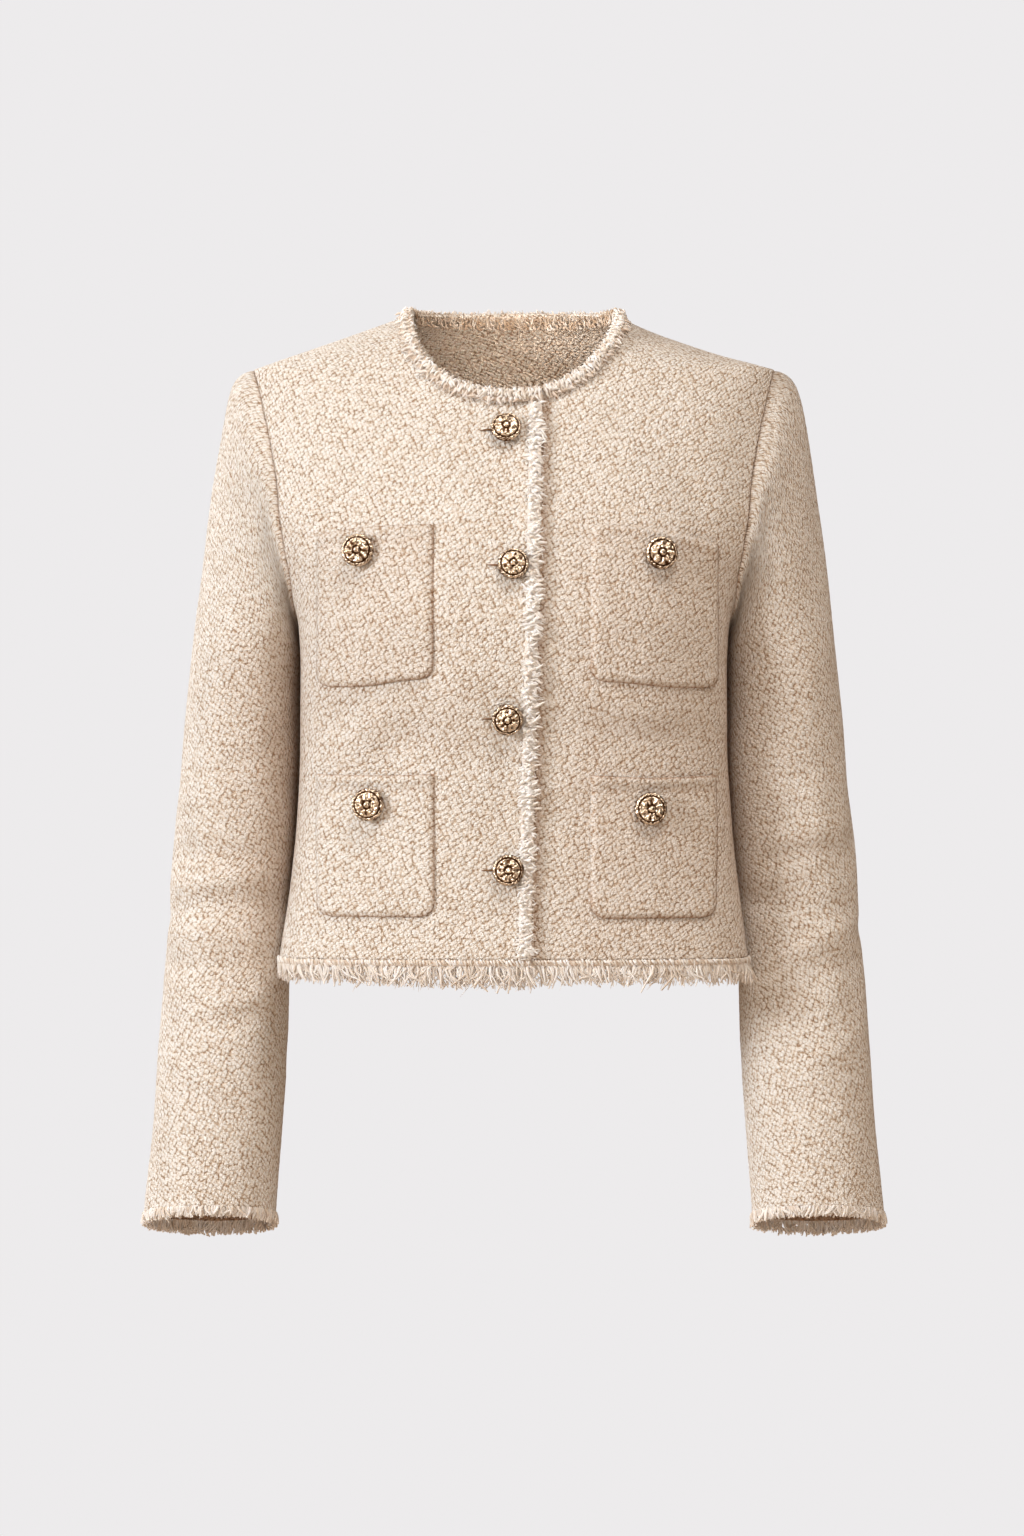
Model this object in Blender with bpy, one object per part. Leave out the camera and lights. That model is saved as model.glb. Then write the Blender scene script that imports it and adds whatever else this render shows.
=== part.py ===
"""A cropped, collarless tweed jacket as it hangs on a figure: hollow, buttoned, arms down.

Metres, +Z up, fronts facing -Y. The origin is midway between the two shoulder seams.
"right" and "left" are the wearer's: the right side is at -X.
"""

import math
import random
from bisect import bisect_right

import bmesh
import bpy
from mathutils import Matrix, Vector

# Cloth
WALL = 0.0026
SEAM_GAP = 0.0003
LAYER_GAP = 0.0009  # between two layers of curved cloth that lie on each other
OVERLAP_LIFT = WALL + LAYER_GAP
RIGHT, LEFT = -1, 1

# Steps for measuring slopes and lengths
ANGLE_STEP = 0.003
HEIGHT_STEP = 0.0006
SLEEVE_STEP = 0.004
SHARE_STEP = 0.01
SLIDE_STEPS = 3
LINE_STEPS = 200
HALVINGS = 40

# Heights of the cut
NECK_TOP = 0.0245
NECK_FRONT_DROP = 0.0645
NECK_BACK_RISE = 0.0035
UNDERARM = -0.2055
HEM = -0.4380
NECK_ROUNDNESS = {RIGHT: 2.3, LEFT: 1.8}  # 2 is an ellipse

# Armhole, as an egg in the side view
ARMHOLE_TOP = -0.0185
ARMHOLE_FRONT_REACH = 0.060
ARMHOLE_BACK_REACH = 0.058
ARMHOLE_EGG = 0.40
SHOULDER_SKEW = 0.0021  # the right shoulder's slope bows up by this much halfway, and the left one's down

# Fronts
FRONT_EDGE_TOP = 0.0195  # x of the right front's edge at the neck, and at the hem
FRONT_EDGE_HEM = 0.0110
UNDERLAP_EDGE = -0.0220  # x of the left front's edge, under the right front
LIFT_FROM = -0.092  # the overlap's lift grows between these two x
LIFT_FULL = -0.030

# Rows and columns of the panels
ROWS_BELOW_ARMHOLE = 11
ROWS_TO_NECK = 7
ROWS_ROUND_NECK = 6
FRONT_COLUMNS = 11
BACK_COLUMNS = 9
SLEEVE_COLUMNS = 18

# The side of the body turns in between these angles from the centre front
CORNER_START = math.radians(56)
CORNER_END = math.radians(86)

BODY_SECTIONS = (
    # height, half width at front corner, at side, at back corner, front depth, back depth, squareness
    (-0.475, 0.2010, 0.1620, 0.1780, 0.1210, 0.1080, 2.5),
    (-0.438, 0.1950, 0.1600, 0.1760, 0.1190, 0.1060, 2.5),
    (-0.400, 0.1860, 0.1570, 0.1730, 0.1160, 0.1020, 2.5),
    (-0.345, 0.1740, 0.1530, 0.1680, 0.1140, 0.0970, 2.5),
    (-0.290, 0.1690, 0.1505, 0.1650, 0.1170, 0.0960, 2.5),
    (-0.240, 0.1670, 0.1505, 0.1650, 0.1240, 0.1000, 2.5),
    (-0.205, 0.1665, 0.1530, 0.1660, 0.1255, 0.1040, 2.5),
    (-0.175, 0.1720, 0.1660, 0.1720, 0.1210, 0.1070, 2.45),
    (-0.148, 0.1830, 0.1800, 0.1810, 0.1150, 0.1070, 2.45),
    (-0.120, 0.1895, 0.1880, 0.1870, 0.1050, 0.1050, 2.5),
    (-0.087, 0.1900, 0.1895, 0.1880, 0.0930, 0.1000, 2.5),
    (-0.054, 0.1890, 0.1890, 0.1880, 0.0790, 0.0900, 2.45),
    (-0.0185, 0.1875, 0.1875, 0.1875, 0.0620, 0.0760, 2.25),
    (-0.0170, 0.1820, 0.1820, 0.1820, 0.0614, 0.0753, 2.25),
    (-0.0036, 0.1390, 0.1390, 0.1390, 0.0545, 0.0690, 2.2),
    (0.0137, 0.0920, 0.0920, 0.0920, 0.0455, 0.0600, 2.15),
    (0.0185, 0.0810, 0.0810, 0.0810, 0.0435, 0.0575, 2.15),
    (0.0245, 0.0722, 0.0722, 0.0722, 0.0415, 0.0545, 2.15),
    (0.0350, 0.0630, 0.0630, 0.0630, 0.0390, 0.0510, 2.1),
)

SLEEVE_TOP = -0.222  # below this height a sleeve is a plain tube
CUFF = -0.6220
SLEEVE_SECTIONS = (
    # height, inner x, outer x, middle y, half depth, squareness, tilt towards the front
    (-0.660, 0.1710, 0.2660, -0.0430, 0.0415, 2.1, 0.22),
    (-0.620, 0.1695, 0.2630, -0.0370, 0.0415, 2.1, 0.22),
    (-0.560, 0.1655, 0.2578, -0.0270, 0.0435, 2.1, 0.16),
    (-0.500, 0.1620, 0.2538, -0.0170, 0.0465, 2.1, 0.09),
    (-0.446, 0.1612, 0.2508, -0.0070, 0.0490, 2.15, 0.03),
    (-0.390, 0.1590, 0.2470, 0.0000, 0.0520, 2.2, 0.00),
    (-0.340, 0.1555, 0.2425, 0.0040, 0.0550, 2.25, 0.00),
    (-0.280, 0.1532, 0.2372, 0.0060, 0.0580, 2.3, 0.00),
    (-0.222, 0.1532, 0.2308, 0.0030, 0.0610, 2.3, 0.00),
)
SLEEVE_FOLDS = (
    # height at the front, turn round the sleeve, half length in turns, fall per turn, half width, depth
    (-0.366, 0.20, 0.16, 0.030, 0.0095, 0.0026),
    (-0.402, 0.26, 0.20, -0.020, 0.0105, 0.0032),
    (-0.446, 0.17, 0.17, 0.025, 0.0100, 0.0026),
    (-0.486, 0.28, 0.15, -0.030, 0.0090, 0.0020),
)
CAP_STEPS = (0, 0.02, 0.05, 0.09, 0.15, 0.24, 0.36, 0.50, 0.66, 0.83, 1)
CAP_ROLL = 0.33  # share of the cap's outward reach that it makes at once, at the shoulder
CAP_ROLL_QUICKNESS = 0.04
CAP_FULLNESS = 0.0040
UNDERARM_PUFF = 0.0080  # how far a sleeve stands off the body on either side of the underarm
TUBE_STRETCHES = (
    # down to this height, in this many rings: closer together over the folds at the elbow
    (-0.345, 5),
    (-0.505, 13),
    (CUFF, 4),
)

POCKET_WALL = 0.0026
POCKET_CORNER = 0.0100
POCKET_COLUMNS = 6
POCKET_ROWS = 6  # above the rounded corners
POCKET_CORNER_ROWS = (0.5, 0.15, 0)  # shares of the corner's radius above the bottom
POCKETS = (
    # name, side, x at outer edge, x at inner edge, top, bottom, sag of the outer top corner
    ("upper_right", RIGHT, 0.1380, 0.0555, -0.1365, -0.2480, 0.0050),
    ("upper_left", LEFT, 0.1430, 0.0530, -0.1365, -0.2475, 0.0060),
    ("lower_right", RIGHT, 0.1380, 0.0550, -0.3085, -0.4085, 0.0),
    ("lower_left", LEFT, 0.1415, 0.0530, -0.3095, -0.4095, 0.0),
)

BUTTON_PROFILE = (
    # radius, height above the cloth
    (0.0000, 0.0003),
    (0.0038, 0.0003),
    (0.0038, 0.0024),
    (0.0098, 0.0030),
    (0.0110, 0.0042),
    (0.0100, 0.0056),
    (0.0078, 0.0066),
    (0.0045, 0.0084),
    (0.0000, 0.0090),
)
BUTTON_SEGMENTS = 12
FRONT_BUTTONS = (
    # x, height
    (-0.0055, -0.0690),
    (-0.0005, -0.1645),
    (-0.0045, -0.2700),
    (-0.0040, -0.3760),
)
POCKET_BUTTONS = (
    # name, side, x, height
    ("upper_right", RIGHT, 0.1070, -0.1535),
    ("upper_left", LEFT, 0.1010, -0.1555),
    ("lower_right", RIGHT, 0.1000, -0.3300),
    ("lower_left", LEFT, 0.0935, -0.3330),
)

LOCK_PITCH = 0.0112
LOCK_SHARE = 0.66  # of each pitch
LOCK_TIP_SHARE = 0.62  # of the lock's own width and thickness
LOCK_SHORTEST = 0.82
LOCK_LEAN = 0.25  # to either side, in half widths of the tip
TRIM_THICKNESS = 0.0020
TRIM_EDGE = 0.0002  # how far inside the cloth's edge it starts
NECK_TRIM_END = 0.985  # share of the neckline, so that it stops short of the shoulder seam
NECK_TRIM_CLEARANCE = 0.0012  # to the placket trim
NECK_TRIM = {"band": 0.0075, "lock": 0.0048}
PLACKET_TRIM = {"band": 0.0070, "lock": 0.0050}
HEM_FRINGE = {"band": 0.0050, "lock": 0.0095}
CUFF_FRINGE = {"band": 0.0035, "lock": 0.0055}
FRONT_FRINGE_EXTRA = 0.0050  # how much longer the hem fringe is at the overlapping corner
EXTRA_FULL_TO = 0.1  # share of the right front's fringe
EXTRA_NONE_FROM = 0.5

TWEED = (0.80, 0.70, 0.60)
TWEED_SHADE = (0.74, 0.63, 0.53)
TRIM_TWEED = (0.84, 0.75, 0.66)
GOLD = (0.80, 0.62, 0.38)


class SmoothTable:
    """Rows of numbers by their first column, joined by a smooth curve that never overshoots them."""

    def __init__(self, rows):
        self.keys = [row[0] for row in rows]
        self.rows = [row[1:] for row in rows]
        self.slopes = [self.slopes_of(column) for column in zip(*self.rows)]

    def slopes_of(self, values):
        steps = [
            (b - a) / (q - p)
            for a, b, p, q in zip(values, values[1:], self.keys, self.keys[1:])
        ]
        inner = [2 * a * b / (a + b) if a * b > 0 else 0.0 for a, b in zip(steps, steps[1:])]
        return [steps[0], *inner, steps[-1]]

    def at(self, key):
        i = min(max(bisect_right(self.keys, key) - 1, 0), len(self.keys) - 2)
        span = self.keys[i + 1] - self.keys[i]
        t = min(max((key - self.keys[i]) / span, 0), 1)
        a, b = self.rows[i], self.rows[i + 1]
        rise = t * t * (3 - 2 * t)
        start_pull, end_pull = span * t * (1 - t) ** 2, span * t * t * (1 - t)
        return [
            a[n] + (b[n] - a[n]) * rise + start_pull * slope[i] - end_pull * slope[i + 1]
            for n, slope in enumerate(self.slopes)
        ]


BODY = SmoothTable(BODY_SECTIONS)
SLEEVE = SmoothTable(SLEEVE_SECTIONS)


def mix(a, b, share):
    return a + (b - a) * share


def smooth(start, end, value):
    t = min(max((value - start) / (end - start), 0), 1)
    return t * t * (3 - 2 * t)


def solve(function, target, low, high):
    """The argument between low and high where a rising function reaches the target."""
    for _ in range(HALVINGS):
        middle = (low + high) / 2
        if function(middle) < target:
            low = middle
        else:
            high = middle
    return (low + high) / 2


def rounded_radius(angle, across, along, squareness):
    """The radius at an angle of a rounded shape that reaches across at 90 degrees and along at 0."""
    return (
        (abs(math.cos(angle)) / along) ** squareness + (abs(math.sin(angle)) / across) ** squareness
    ) ** (-1 / squareness)


# The body's outer surface, by the angle from the centre front and the height


def body_radius(side, angle, height):
    low, high = max(height - ARMHOLE_TOP, 0), max(NECK_TOP - height, 0)
    halfway = 4 * low * high / (NECK_TOP - ARMHOLE_TOP) ** 2
    height += side * SHOULDER_SKEW * halfway * math.sin(angle) ** 2
    front, side, back, front_depth, back_depth, squareness = BODY.at(height)
    turn = abs((angle + math.pi) % math.tau - math.pi)
    if turn <= math.pi / 2:
        half = mix(front, side, smooth(CORNER_START, CORNER_END, turn))
        return rounded_radius(turn, half, front_depth, squareness)
    half = mix(side, back, smooth(math.pi - CORNER_END, math.pi - CORNER_START, turn))
    return rounded_radius(turn, half, back_depth, squareness)


def body_surface(side):
    def point(angle, height):
        own_side = side if math.sin(angle) >= 0 else -side
        radius = body_radius(own_side, angle, height)
        return Vector((side * radius * math.sin(angle), -radius * math.cos(angle), height))

    return point


def with_normal(surface, first, second):
    """A point of a surface, and the direction out of it where first grows round the front to the back."""
    point = surface(first, second)
    along = surface(first + ANGLE_STEP, second) - surface(first - ANGLE_STEP, second)
    up = surface(first, second + HEIGHT_STEP) - surface(first, second - HEIGHT_STEP)
    return point, along.cross(up).normalized()


def body_outward(side, angle, height, out=0.0):
    """A point of the body, moved out of its surface."""
    point, normal = with_normal(body_surface(side), angle, height)
    return point + normal * side * out


def front_lift(side, x):
    """How far a front stands out of the body: the right one rises where it lies on the left one."""
    return OVERLAP_LIFT * smooth(LIFT_FROM, LIFT_FULL, x) if side == RIGHT else 0.0


def front_outward(side, angle, height, out=0.0):
    point, normal = with_normal(body_surface(side), angle, height)
    return point + normal * side * (out + front_lift(side, point.x))


def angle_at_x(side, x, height):
    """The body angle where the front reaches x, which may lie a little past the centre."""
    reach = side * x

    def across(angle):
        return body_radius(side, angle, height) * math.sin(angle)

    return math.copysign(solve(across, abs(reach), 0, math.pi / 2), reach)


def slide(surface, place, step):
    """The angle and height reached by moving from a place by a vector that lies in the surface."""
    angle, height = place
    for _ in range(SLIDE_STEPS):
        along = surface(angle + ANGLE_STEP, height) - surface(angle - ANGLE_STEP, height)
        up = surface(angle, height + HEIGHT_STEP) - surface(angle, height - HEIGHT_STEP)
        along /= 2 * ANGLE_STEP
        up /= 2 * HEIGHT_STEP
        aa, ab, bb = along.dot(along), along.dot(up), up.dot(up)
        sa, sb = step.dot(along) / SLIDE_STEPS, step.dot(up) / SLIDE_STEPS
        fall = aa * bb - ab * ab
        angle += (sa * bb - sb * ab) / fall
        height += (sb * aa - sa * ab) / fall
    return angle, height


# The lines that the panels are cut along, each as (angle, height) by a share from 0 to 1


def front_edge(side):
    """The front's own edge, up from the hem to the neck."""

    def place(share):
        bottom, top = HEM, neck_front_height(side, front_edge_x(side, 1))
        height = mix(bottom, top, share)
        return angle_at_x(side, front_edge_x(side, share), height), height

    return place


def front_edge_x(side, share):
    return mix(FRONT_EDGE_HEM, FRONT_EDGE_TOP, share) if side == RIGHT else UNDERLAP_EDGE


def neck_front_height(side, x):
    """The height of the front neckline at x."""
    half = BODY.at(NECK_TOP)[0]
    own_side = side if side * x > 0 else -side
    power = NECK_ROUNDNESS[own_side]
    return NECK_TOP - NECK_FRONT_DROP * max(1 - (abs(x) / half) ** power, 0) ** (1 / power)


def neck_front(side):
    """The front neckline, from the front's edge up to the shoulder."""
    half = BODY.at(NECK_TOP)[0]
    start_x = side * front_edge_x(side, 1)
    start = math.copysign(solve(math.sin, abs(start_x) / half, 0, math.pi / 2), start_x)

    def place(share):
        turn = mix(start, math.pi / 2, share)
        own_side = side if turn > 0 else -side
        radius = rounded_radius(turn, half, NECK_FRONT_DROP, NECK_ROUNDNESS[own_side])
        x, height = radius * math.sin(turn), NECK_TOP - radius * math.cos(turn)
        if share >= 1:
            return math.pi / 2, NECK_TOP
        return angle_at_x(side, side * x, height), height

    return place


def neck_back(share):
    """The back neckline, from the centre back to the shoulder."""
    angle = mix(math.pi, math.pi / 2, share)
    return angle, NECK_TOP + NECK_BACK_RISE * math.cos(share * math.pi / 2) ** 2


def armhole(side, turn):
    """The armhole seam by the turn round it: 0 at the shoulder, a half at the underarm, the front first."""
    angle = turn * math.tau
    middle, half = (ARMHOLE_TOP + UNDERARM) / 2, (ARMHOLE_TOP - UNDERARM) / 2
    height = middle + half * math.cos(angle)
    reach = ARMHOLE_FRONT_REACH if turn < 0.5 else ARMHOLE_BACK_REACH
    forward = reach * math.sin(angle) * (1 - ARMHOLE_EGG * math.cos(angle))
    found = solve(
        lambda a: -body_radius(side, a, height) * math.cos(a), -forward, 0.2, math.pi - 0.2
    )
    return found, height


def evenly(place, surface, count):
    """Places along a line, evenly spaced by their distance on the surface."""
    fine = [place(i / LINE_STEPS) for i in range(LINE_STEPS + 1)]
    points = [surface(*at) for at in fine]
    run = [0.0]
    for a, b in zip(points, points[1:]):
        run.append(run[-1] + (b - a).length)
    found = []
    for i in range(count + 1):
        goal = run[-1] * i / count
        j = min(bisect_right(run, goal) - 1, LINE_STEPS - 1)
        share = (goal - run[j]) / (run[j + 1] - run[j])
        found.append(place((j + min(max(share, 0), 1)) / LINE_STEPS))
    return found


def inset(surface, line, inside, distance):
    """A line of places moved sideways in the surface, towards the places inside."""
    moved = []
    for i, place in enumerate(line):
        before, after = line[max(i - 1, 0)], line[min(i + 1, len(line) - 1)]
        tangent = (surface(*after) - surface(*before)).normalized()
        inwards = surface(*inside[i]) - surface(*place)
        inwards -= tangent * inwards.dot(tangent)
        moved.append(slide(surface, place, inwards.normalized() * distance))
    return moved


# Making solids


def material(name, colour, roughness, metallic):
    made = bpy.data.materials.new(name)
    made.use_nodes = True
    shader = made.node_tree.nodes["Principled BSDF"]
    shader.inputs["Base Color"].default_value = (*colour, 1)
    shader.inputs["Roughness"].default_value = roughness
    shader.inputs["Metallic"].default_value = metallic
    made.diffuse_color = (*colour, 1)
    return made


def add_object(name, bm, colour, roughness=0.95, metallic=0.0):
    mesh = bpy.data.meshes.new(name)
    bm.normal_update()
    bm.to_mesh(mesh)
    bm.free()
    mesh.shade_smooth()
    mesh.set_sharp_from_angle(angle=math.radians(50))
    mesh.materials.append(material(name, colour, roughness, metallic))
    made = bpy.data.objects.new(name, mesh)
    bpy.context.scene.collection.objects.link(made)
    return made


def shell(name, outer, inner, quads, colour):
    """A wall between two matching sheets, closed round every free edge."""
    bm = bmesh.new()
    out = {key: bm.verts.new(point) for key, point in outer.items()}
    back = {key: bm.verts.new(inner[key]) for key in outer}
    for quad in quads:
        bm.faces.new([out[key] for key in quad])
        bm.faces.new([back[key] for key in reversed(quad)])
    edges = {}
    for quad in quads:
        for a, b in zip(quad, quad[1:] + quad[:1]):
            edges[a, b] = True
    for a, b in edges:
        if (b, a) not in edges:
            bm.faces.new((out[b], out[a], back[a], back[b]))
    bmesh.ops.recalc_face_normals(bm, faces=bm.faces)
    return add_object(name, bm, colour)


def grid_quads(rows, columns, closed=False):
    last = columns if closed else columns - 1
    return [
        ((i, j), (i, (j + 1) % columns), (i + 1, (j + 1) % columns), (i + 1, j))
        for i in range(rows - 1)
        for j in range(last)
    ]


# Panels


def panel_lines(side, inner_lines, turn_of):
    """The places down the inner and the outer edge of half a panel, row by row from the hem."""
    surface = body_surface(side)
    low_heights = [mix(HEM, UNDERARM, i / ROWS_BELOW_ARMHOLE) for i in range(ROWS_BELOW_ARMHOLE)]
    outer_side = [(math.pi / 2, height) for height in low_heights]
    rows_above = ROWS_TO_NECK + ROWS_ROUND_NECK
    outer_armhole = evenly(lambda share: armhole(side, turn_of(share)), surface, rows_above)
    edge, neck = inner_lines
    neck_height = edge(1)[1]
    low_share = (UNDERARM - HEM) / (neck_height - HEM)
    inner_low = [edge(low_share * i / ROWS_BELOW_ARMHOLE) for i in range(ROWS_BELOW_ARMHOLE)]
    inner_high = [edge(mix(low_share, 1, i / ROWS_TO_NECK)) for i in range(ROWS_TO_NECK)]
    inner_neck = evenly(neck, surface, ROWS_ROUND_NECK)
    return inner_low + inner_high + inner_neck, outer_side + outer_armhole


def tightened(side, inner, outer):
    """The same lines, moved in by half a seam gap at the side, the armhole and the shoulder."""
    surface = body_surface(side)
    outer = inset(surface, outer, inner, SEAM_GAP / 2)
    top = [(mix(inner[-1][0], outer[-1][0], s), mix(inner[-1][1], outer[-1][1], s)) for s in (0, 1)]
    below = [inner[-2], outer[-2]]
    top = inset(surface, top, below, SEAM_GAP / 2)
    return inner[:-1] + [top[0]], outer[:-1] + [top[1]]


def front_panel(name, side, colour):
    inner, outer = panel_lines(side, (front_edge(side), neck_front(side)), lambda share: 0.5 - share / 2)
    inner, outer = tightened(side, inner, outer)
    outside, inside = {}, {}
    for i, (a, b) in enumerate(zip(inner, outer)):
        for j in range(FRONT_COLUMNS + 1):
            share = j / FRONT_COLUMNS
            place = mix(a[0], b[0], share), mix(a[1], b[1], share)
            outside[i, j] = front_outward(side, *place)
            inside[i, j] = front_outward(side, *place, -WALL)
    return shell(name, outside, inside, grid_quads(len(inner), FRONT_COLUMNS + 1), colour)


def back_panel(name, colour):
    def centre(share):
        return math.pi, mix(HEM, NECK_TOP + NECK_BACK_RISE, share)

    outside, inside, quads = {}, {}, []
    for side in (RIGHT, LEFT):
        inner, outer = panel_lines(side, (centre, neck_back), lambda share: 0.5 + share / 2)
        inner, outer = tightened(side, inner, outer)
        joined = ROWS_BELOW_ARMHOLE + ROWS_TO_NECK

        def key(i, j, side=side, joined=joined):
            return (i, 0) if j == 0 and i <= joined else (i, side * j, side)

        for i, (a, b) in enumerate(zip(inner, outer)):
            for j in range(BACK_COLUMNS + 1):
                share = j / BACK_COLUMNS
                place = mix(a[0], b[0], share), mix(a[1], b[1], share)
                outside[key(i, j)] = body_outward(side, *place)
                inside[key(i, j)] = body_outward(side, *place, -WALL)
        for i in range(len(inner) - 1):
            for j in range(BACK_COLUMNS):
                quad = [key(i, j), key(i, j + 1), key(i + 1, j + 1), key(i + 1, j)]
                quads.append(tuple(quad if side == RIGHT else reversed(quad)))
    return shell(name, outside, inside, quads, colour)


# Sleeves


def fold_depth(turn, height):
    """How deep the folds over the elbow press a sleeve in."""
    depth = 0.0
    for at_height, at_turn, half_length, fall, half_width, deepest in SLEEVE_FOLDS:
        off = (turn - at_turn + 0.5) % 1 - 0.5
        along = max(1 - (off / half_length) ** 2, 0)
        across = (height - at_height + fall * off) / half_width
        depth += deepest * along * math.exp(-across * across)
    return depth


def tube_point(side, turn, height):
    """A sleeve's outer surface below the armhole: turn 0 is outside, a quarter is the front."""
    inner, outer, middle_y, half_depth, squareness, tilt = SLEEVE.at(height)
    angle = turn * math.tau
    half_width = (outer - inner) / 2
    radius = rounded_radius(angle, half_depth, half_width, squareness) - fold_depth(turn, height)
    forward = radius * math.sin(angle)
    x = (inner + outer) / 2 + radius * math.cos(angle)
    return Vector((side * x, middle_y - forward, height + tilt * forward))


def cap_point(side, turn, share):
    """A sleeve's outer surface between the armhole seam and the plain tube."""
    angle, height = armhole(side, turn)
    seam = body_outward(side, angle, height)
    seam.x += side * SEAM_GAP
    end = tube_point(side, turn, SLEEVE_TOP)
    roll = CAP_ROLL * (0.5 + 0.5 * math.cos(turn * math.tau))
    quick = 1 - math.exp(-share / CAP_ROLL_QUICKNESS)
    sideways = mix(share, quick, roll)
    down = mix(share, (share - CAP_ROLL_QUICKNESS * quick) / (1 - CAP_ROLL_QUICKNESS), 2 * roll)
    across = seam.lerp(end, sideways)
    point = Vector((across.x, across.y, mix(seam.z, end.z, min(down, 1))))
    _, normal = with_normal(body_surface(side), angle, height)
    beside = (0.5 - 0.5 * math.cos(turn * math.tau)) * math.sin(turn * math.tau) ** 2
    puff = UNDERARM_PUFF * beside * quick * (1 - share)
    point.x += side * CAP_FULLNESS * math.sin(math.pi * share) * max(math.cos(turn * math.tau), 0)
    return point + normal * side * puff


def sleeve_surface(side):
    """A sleeve by turn and by a run that is the cap's share up to 1, and then 1 plus the depth below it."""

    def point(turn, run):
        if run <= 1:
            return cap_point(side, turn % 1, max(run, 0))
        return tube_point(side, turn % 1, SLEEVE_TOP - (run - 1))

    return point


def sleeve_place(side, turn, run, out=0.0):
    surface = sleeve_surface(side)
    point = surface(turn, run)
    along = surface(turn + SLEEVE_STEP, run) - surface(turn - SLEEVE_STEP, run)
    down = surface(turn, run + SLEEVE_STEP) - surface(turn, max(run - SLEEVE_STEP, 0))
    normal = along.cross(down).normalized() * side
    return point + normal * out


def sleeve(name, side, colour):
    runs = list(CAP_STEPS)
    start = SLEEVE_TOP
    for end, rings in TUBE_STRETCHES:
        runs += [1 + SLEEVE_TOP - mix(start, end, i / rings) for i in range(1, rings + 1)]
        start = end
    outside, inside = {}, {}
    for i, run in enumerate(runs):
        for j in range(SLEEVE_COLUMNS):
            turn = j / SLEEVE_COLUMNS
            outside[i, j] = sleeve_place(side, turn, run)
            inside[i, j] = sleeve_place(side, turn, run, -WALL)
    return shell(name, outside, inside, grid_quads(len(runs), SLEEVE_COLUMNS, closed=True), colour)


# Pockets and buttons


def pocket(name, side, outer_x, inner_x, top, bottom, sag, colour):
    depths = [i / POCKET_ROWS * (top - bottom - POCKET_CORNER) for i in range(POCKET_ROWS + 1)]
    depths += [top - bottom - POCKET_CORNER * share for share in POCKET_CORNER_ROWS]
    outside, inside = {}, {}
    for i, depth in enumerate(depths):
        left = max(POCKET_CORNER - (top - bottom - depth), 0)
        cut = POCKET_CORNER - math.sqrt(POCKET_CORNER**2 - left**2)
        for j in range(POCKET_COLUMNS + 1):
            share = j / POCKET_COLUMNS
            x = side * mix(inner_x + cut, outer_x - cut, share)
            height = top - depth - sag * share**2
            angle = angle_at_x(side, x, height)
            inside[i, j] = front_outward(side, angle, height, LAYER_GAP)
            outside[i, j] = front_outward(side, angle, height, LAYER_GAP + POCKET_WALL)
    return shell(name, outside, inside, grid_quads(len(depths), POCKET_COLUMNS + 1), colour)


def button(name, side, x, height, lift):
    """A domed button on its shank, standing out of the cloth at x and height."""
    bm = bmesh.new()
    profile = [bm.verts.new((radius, 0, up)) for radius, up in BUTTON_PROFILE]
    edges = [bm.edges.new(pair) for pair in zip(profile, profile[1:])]
    bmesh.ops.spin(
        bm,
        geom=profile + edges,
        cent=(0, 0, 0),
        axis=(0, 0, 1),
        angle=math.tau,
        steps=BUTTON_SEGMENTS,
        use_merge=True,
    )
    bmesh.ops.remove_doubles(bm, verts=bm.verts, dist=1e-6)
    bmesh.ops.recalc_face_normals(bm, faces=bm.faces)
    angle = angle_at_x(side, x, height)
    foot = front_outward(side, angle, height, lift)
    axis = (front_outward(side, angle, height, lift + 0.01) - foot).normalized()
    made = add_object(name, bm, GOLD, 0.3, 1.0)
    turn = Vector((0, 0, 1)).rotation_difference(axis).to_matrix().to_4x4()
    made.matrix_world = Matrix.Translation(foot) @ turn
    return made


# Frayed edges


def lock_stops(count, closed):
    """Where the locks start and end along a band, and which stretches between the stops hold a lock."""
    margin = 0 if closed else (1 - LOCK_SHARE) / 2
    stops = [(i + margin + end) / count for i in range(count) for end in (0, LOCK_SHARE)]
    if closed:
        return stops, 0
    return [0, *stops, 1], 1


def add_lock(bm, at, start, end, roots, reach, thickness, lean):
    """One tapering lock, from four points of the band's edge to a smaller tip."""
    middle, half = (start + end) / 2, (end - start) / 2 * LOCK_TIP_SHARE
    low, high = thickness * (1 - LOCK_TIP_SHARE) / 2, thickness * (1 + LOCK_TIP_SHARE) / 2
    tips = [
        bm.verts.new(at(middle + lean * half + way * half, reach, height))
        for way, height in ((-1, high), (-1, low), (1, high), (1, low))
    ]
    bm.faces.new((roots[0], tips[0], tips[1], roots[1]))
    bm.faces.new((roots[2], roots[3], tips[3], tips[2]))
    bm.faces.new((roots[0], roots[2], tips[2], tips[0]))
    bm.faces.new((roots[1], tips[1], tips[3], roots[3]))
    bm.faces.new((tips[0], tips[2], tips[3], tips[1]))


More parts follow.
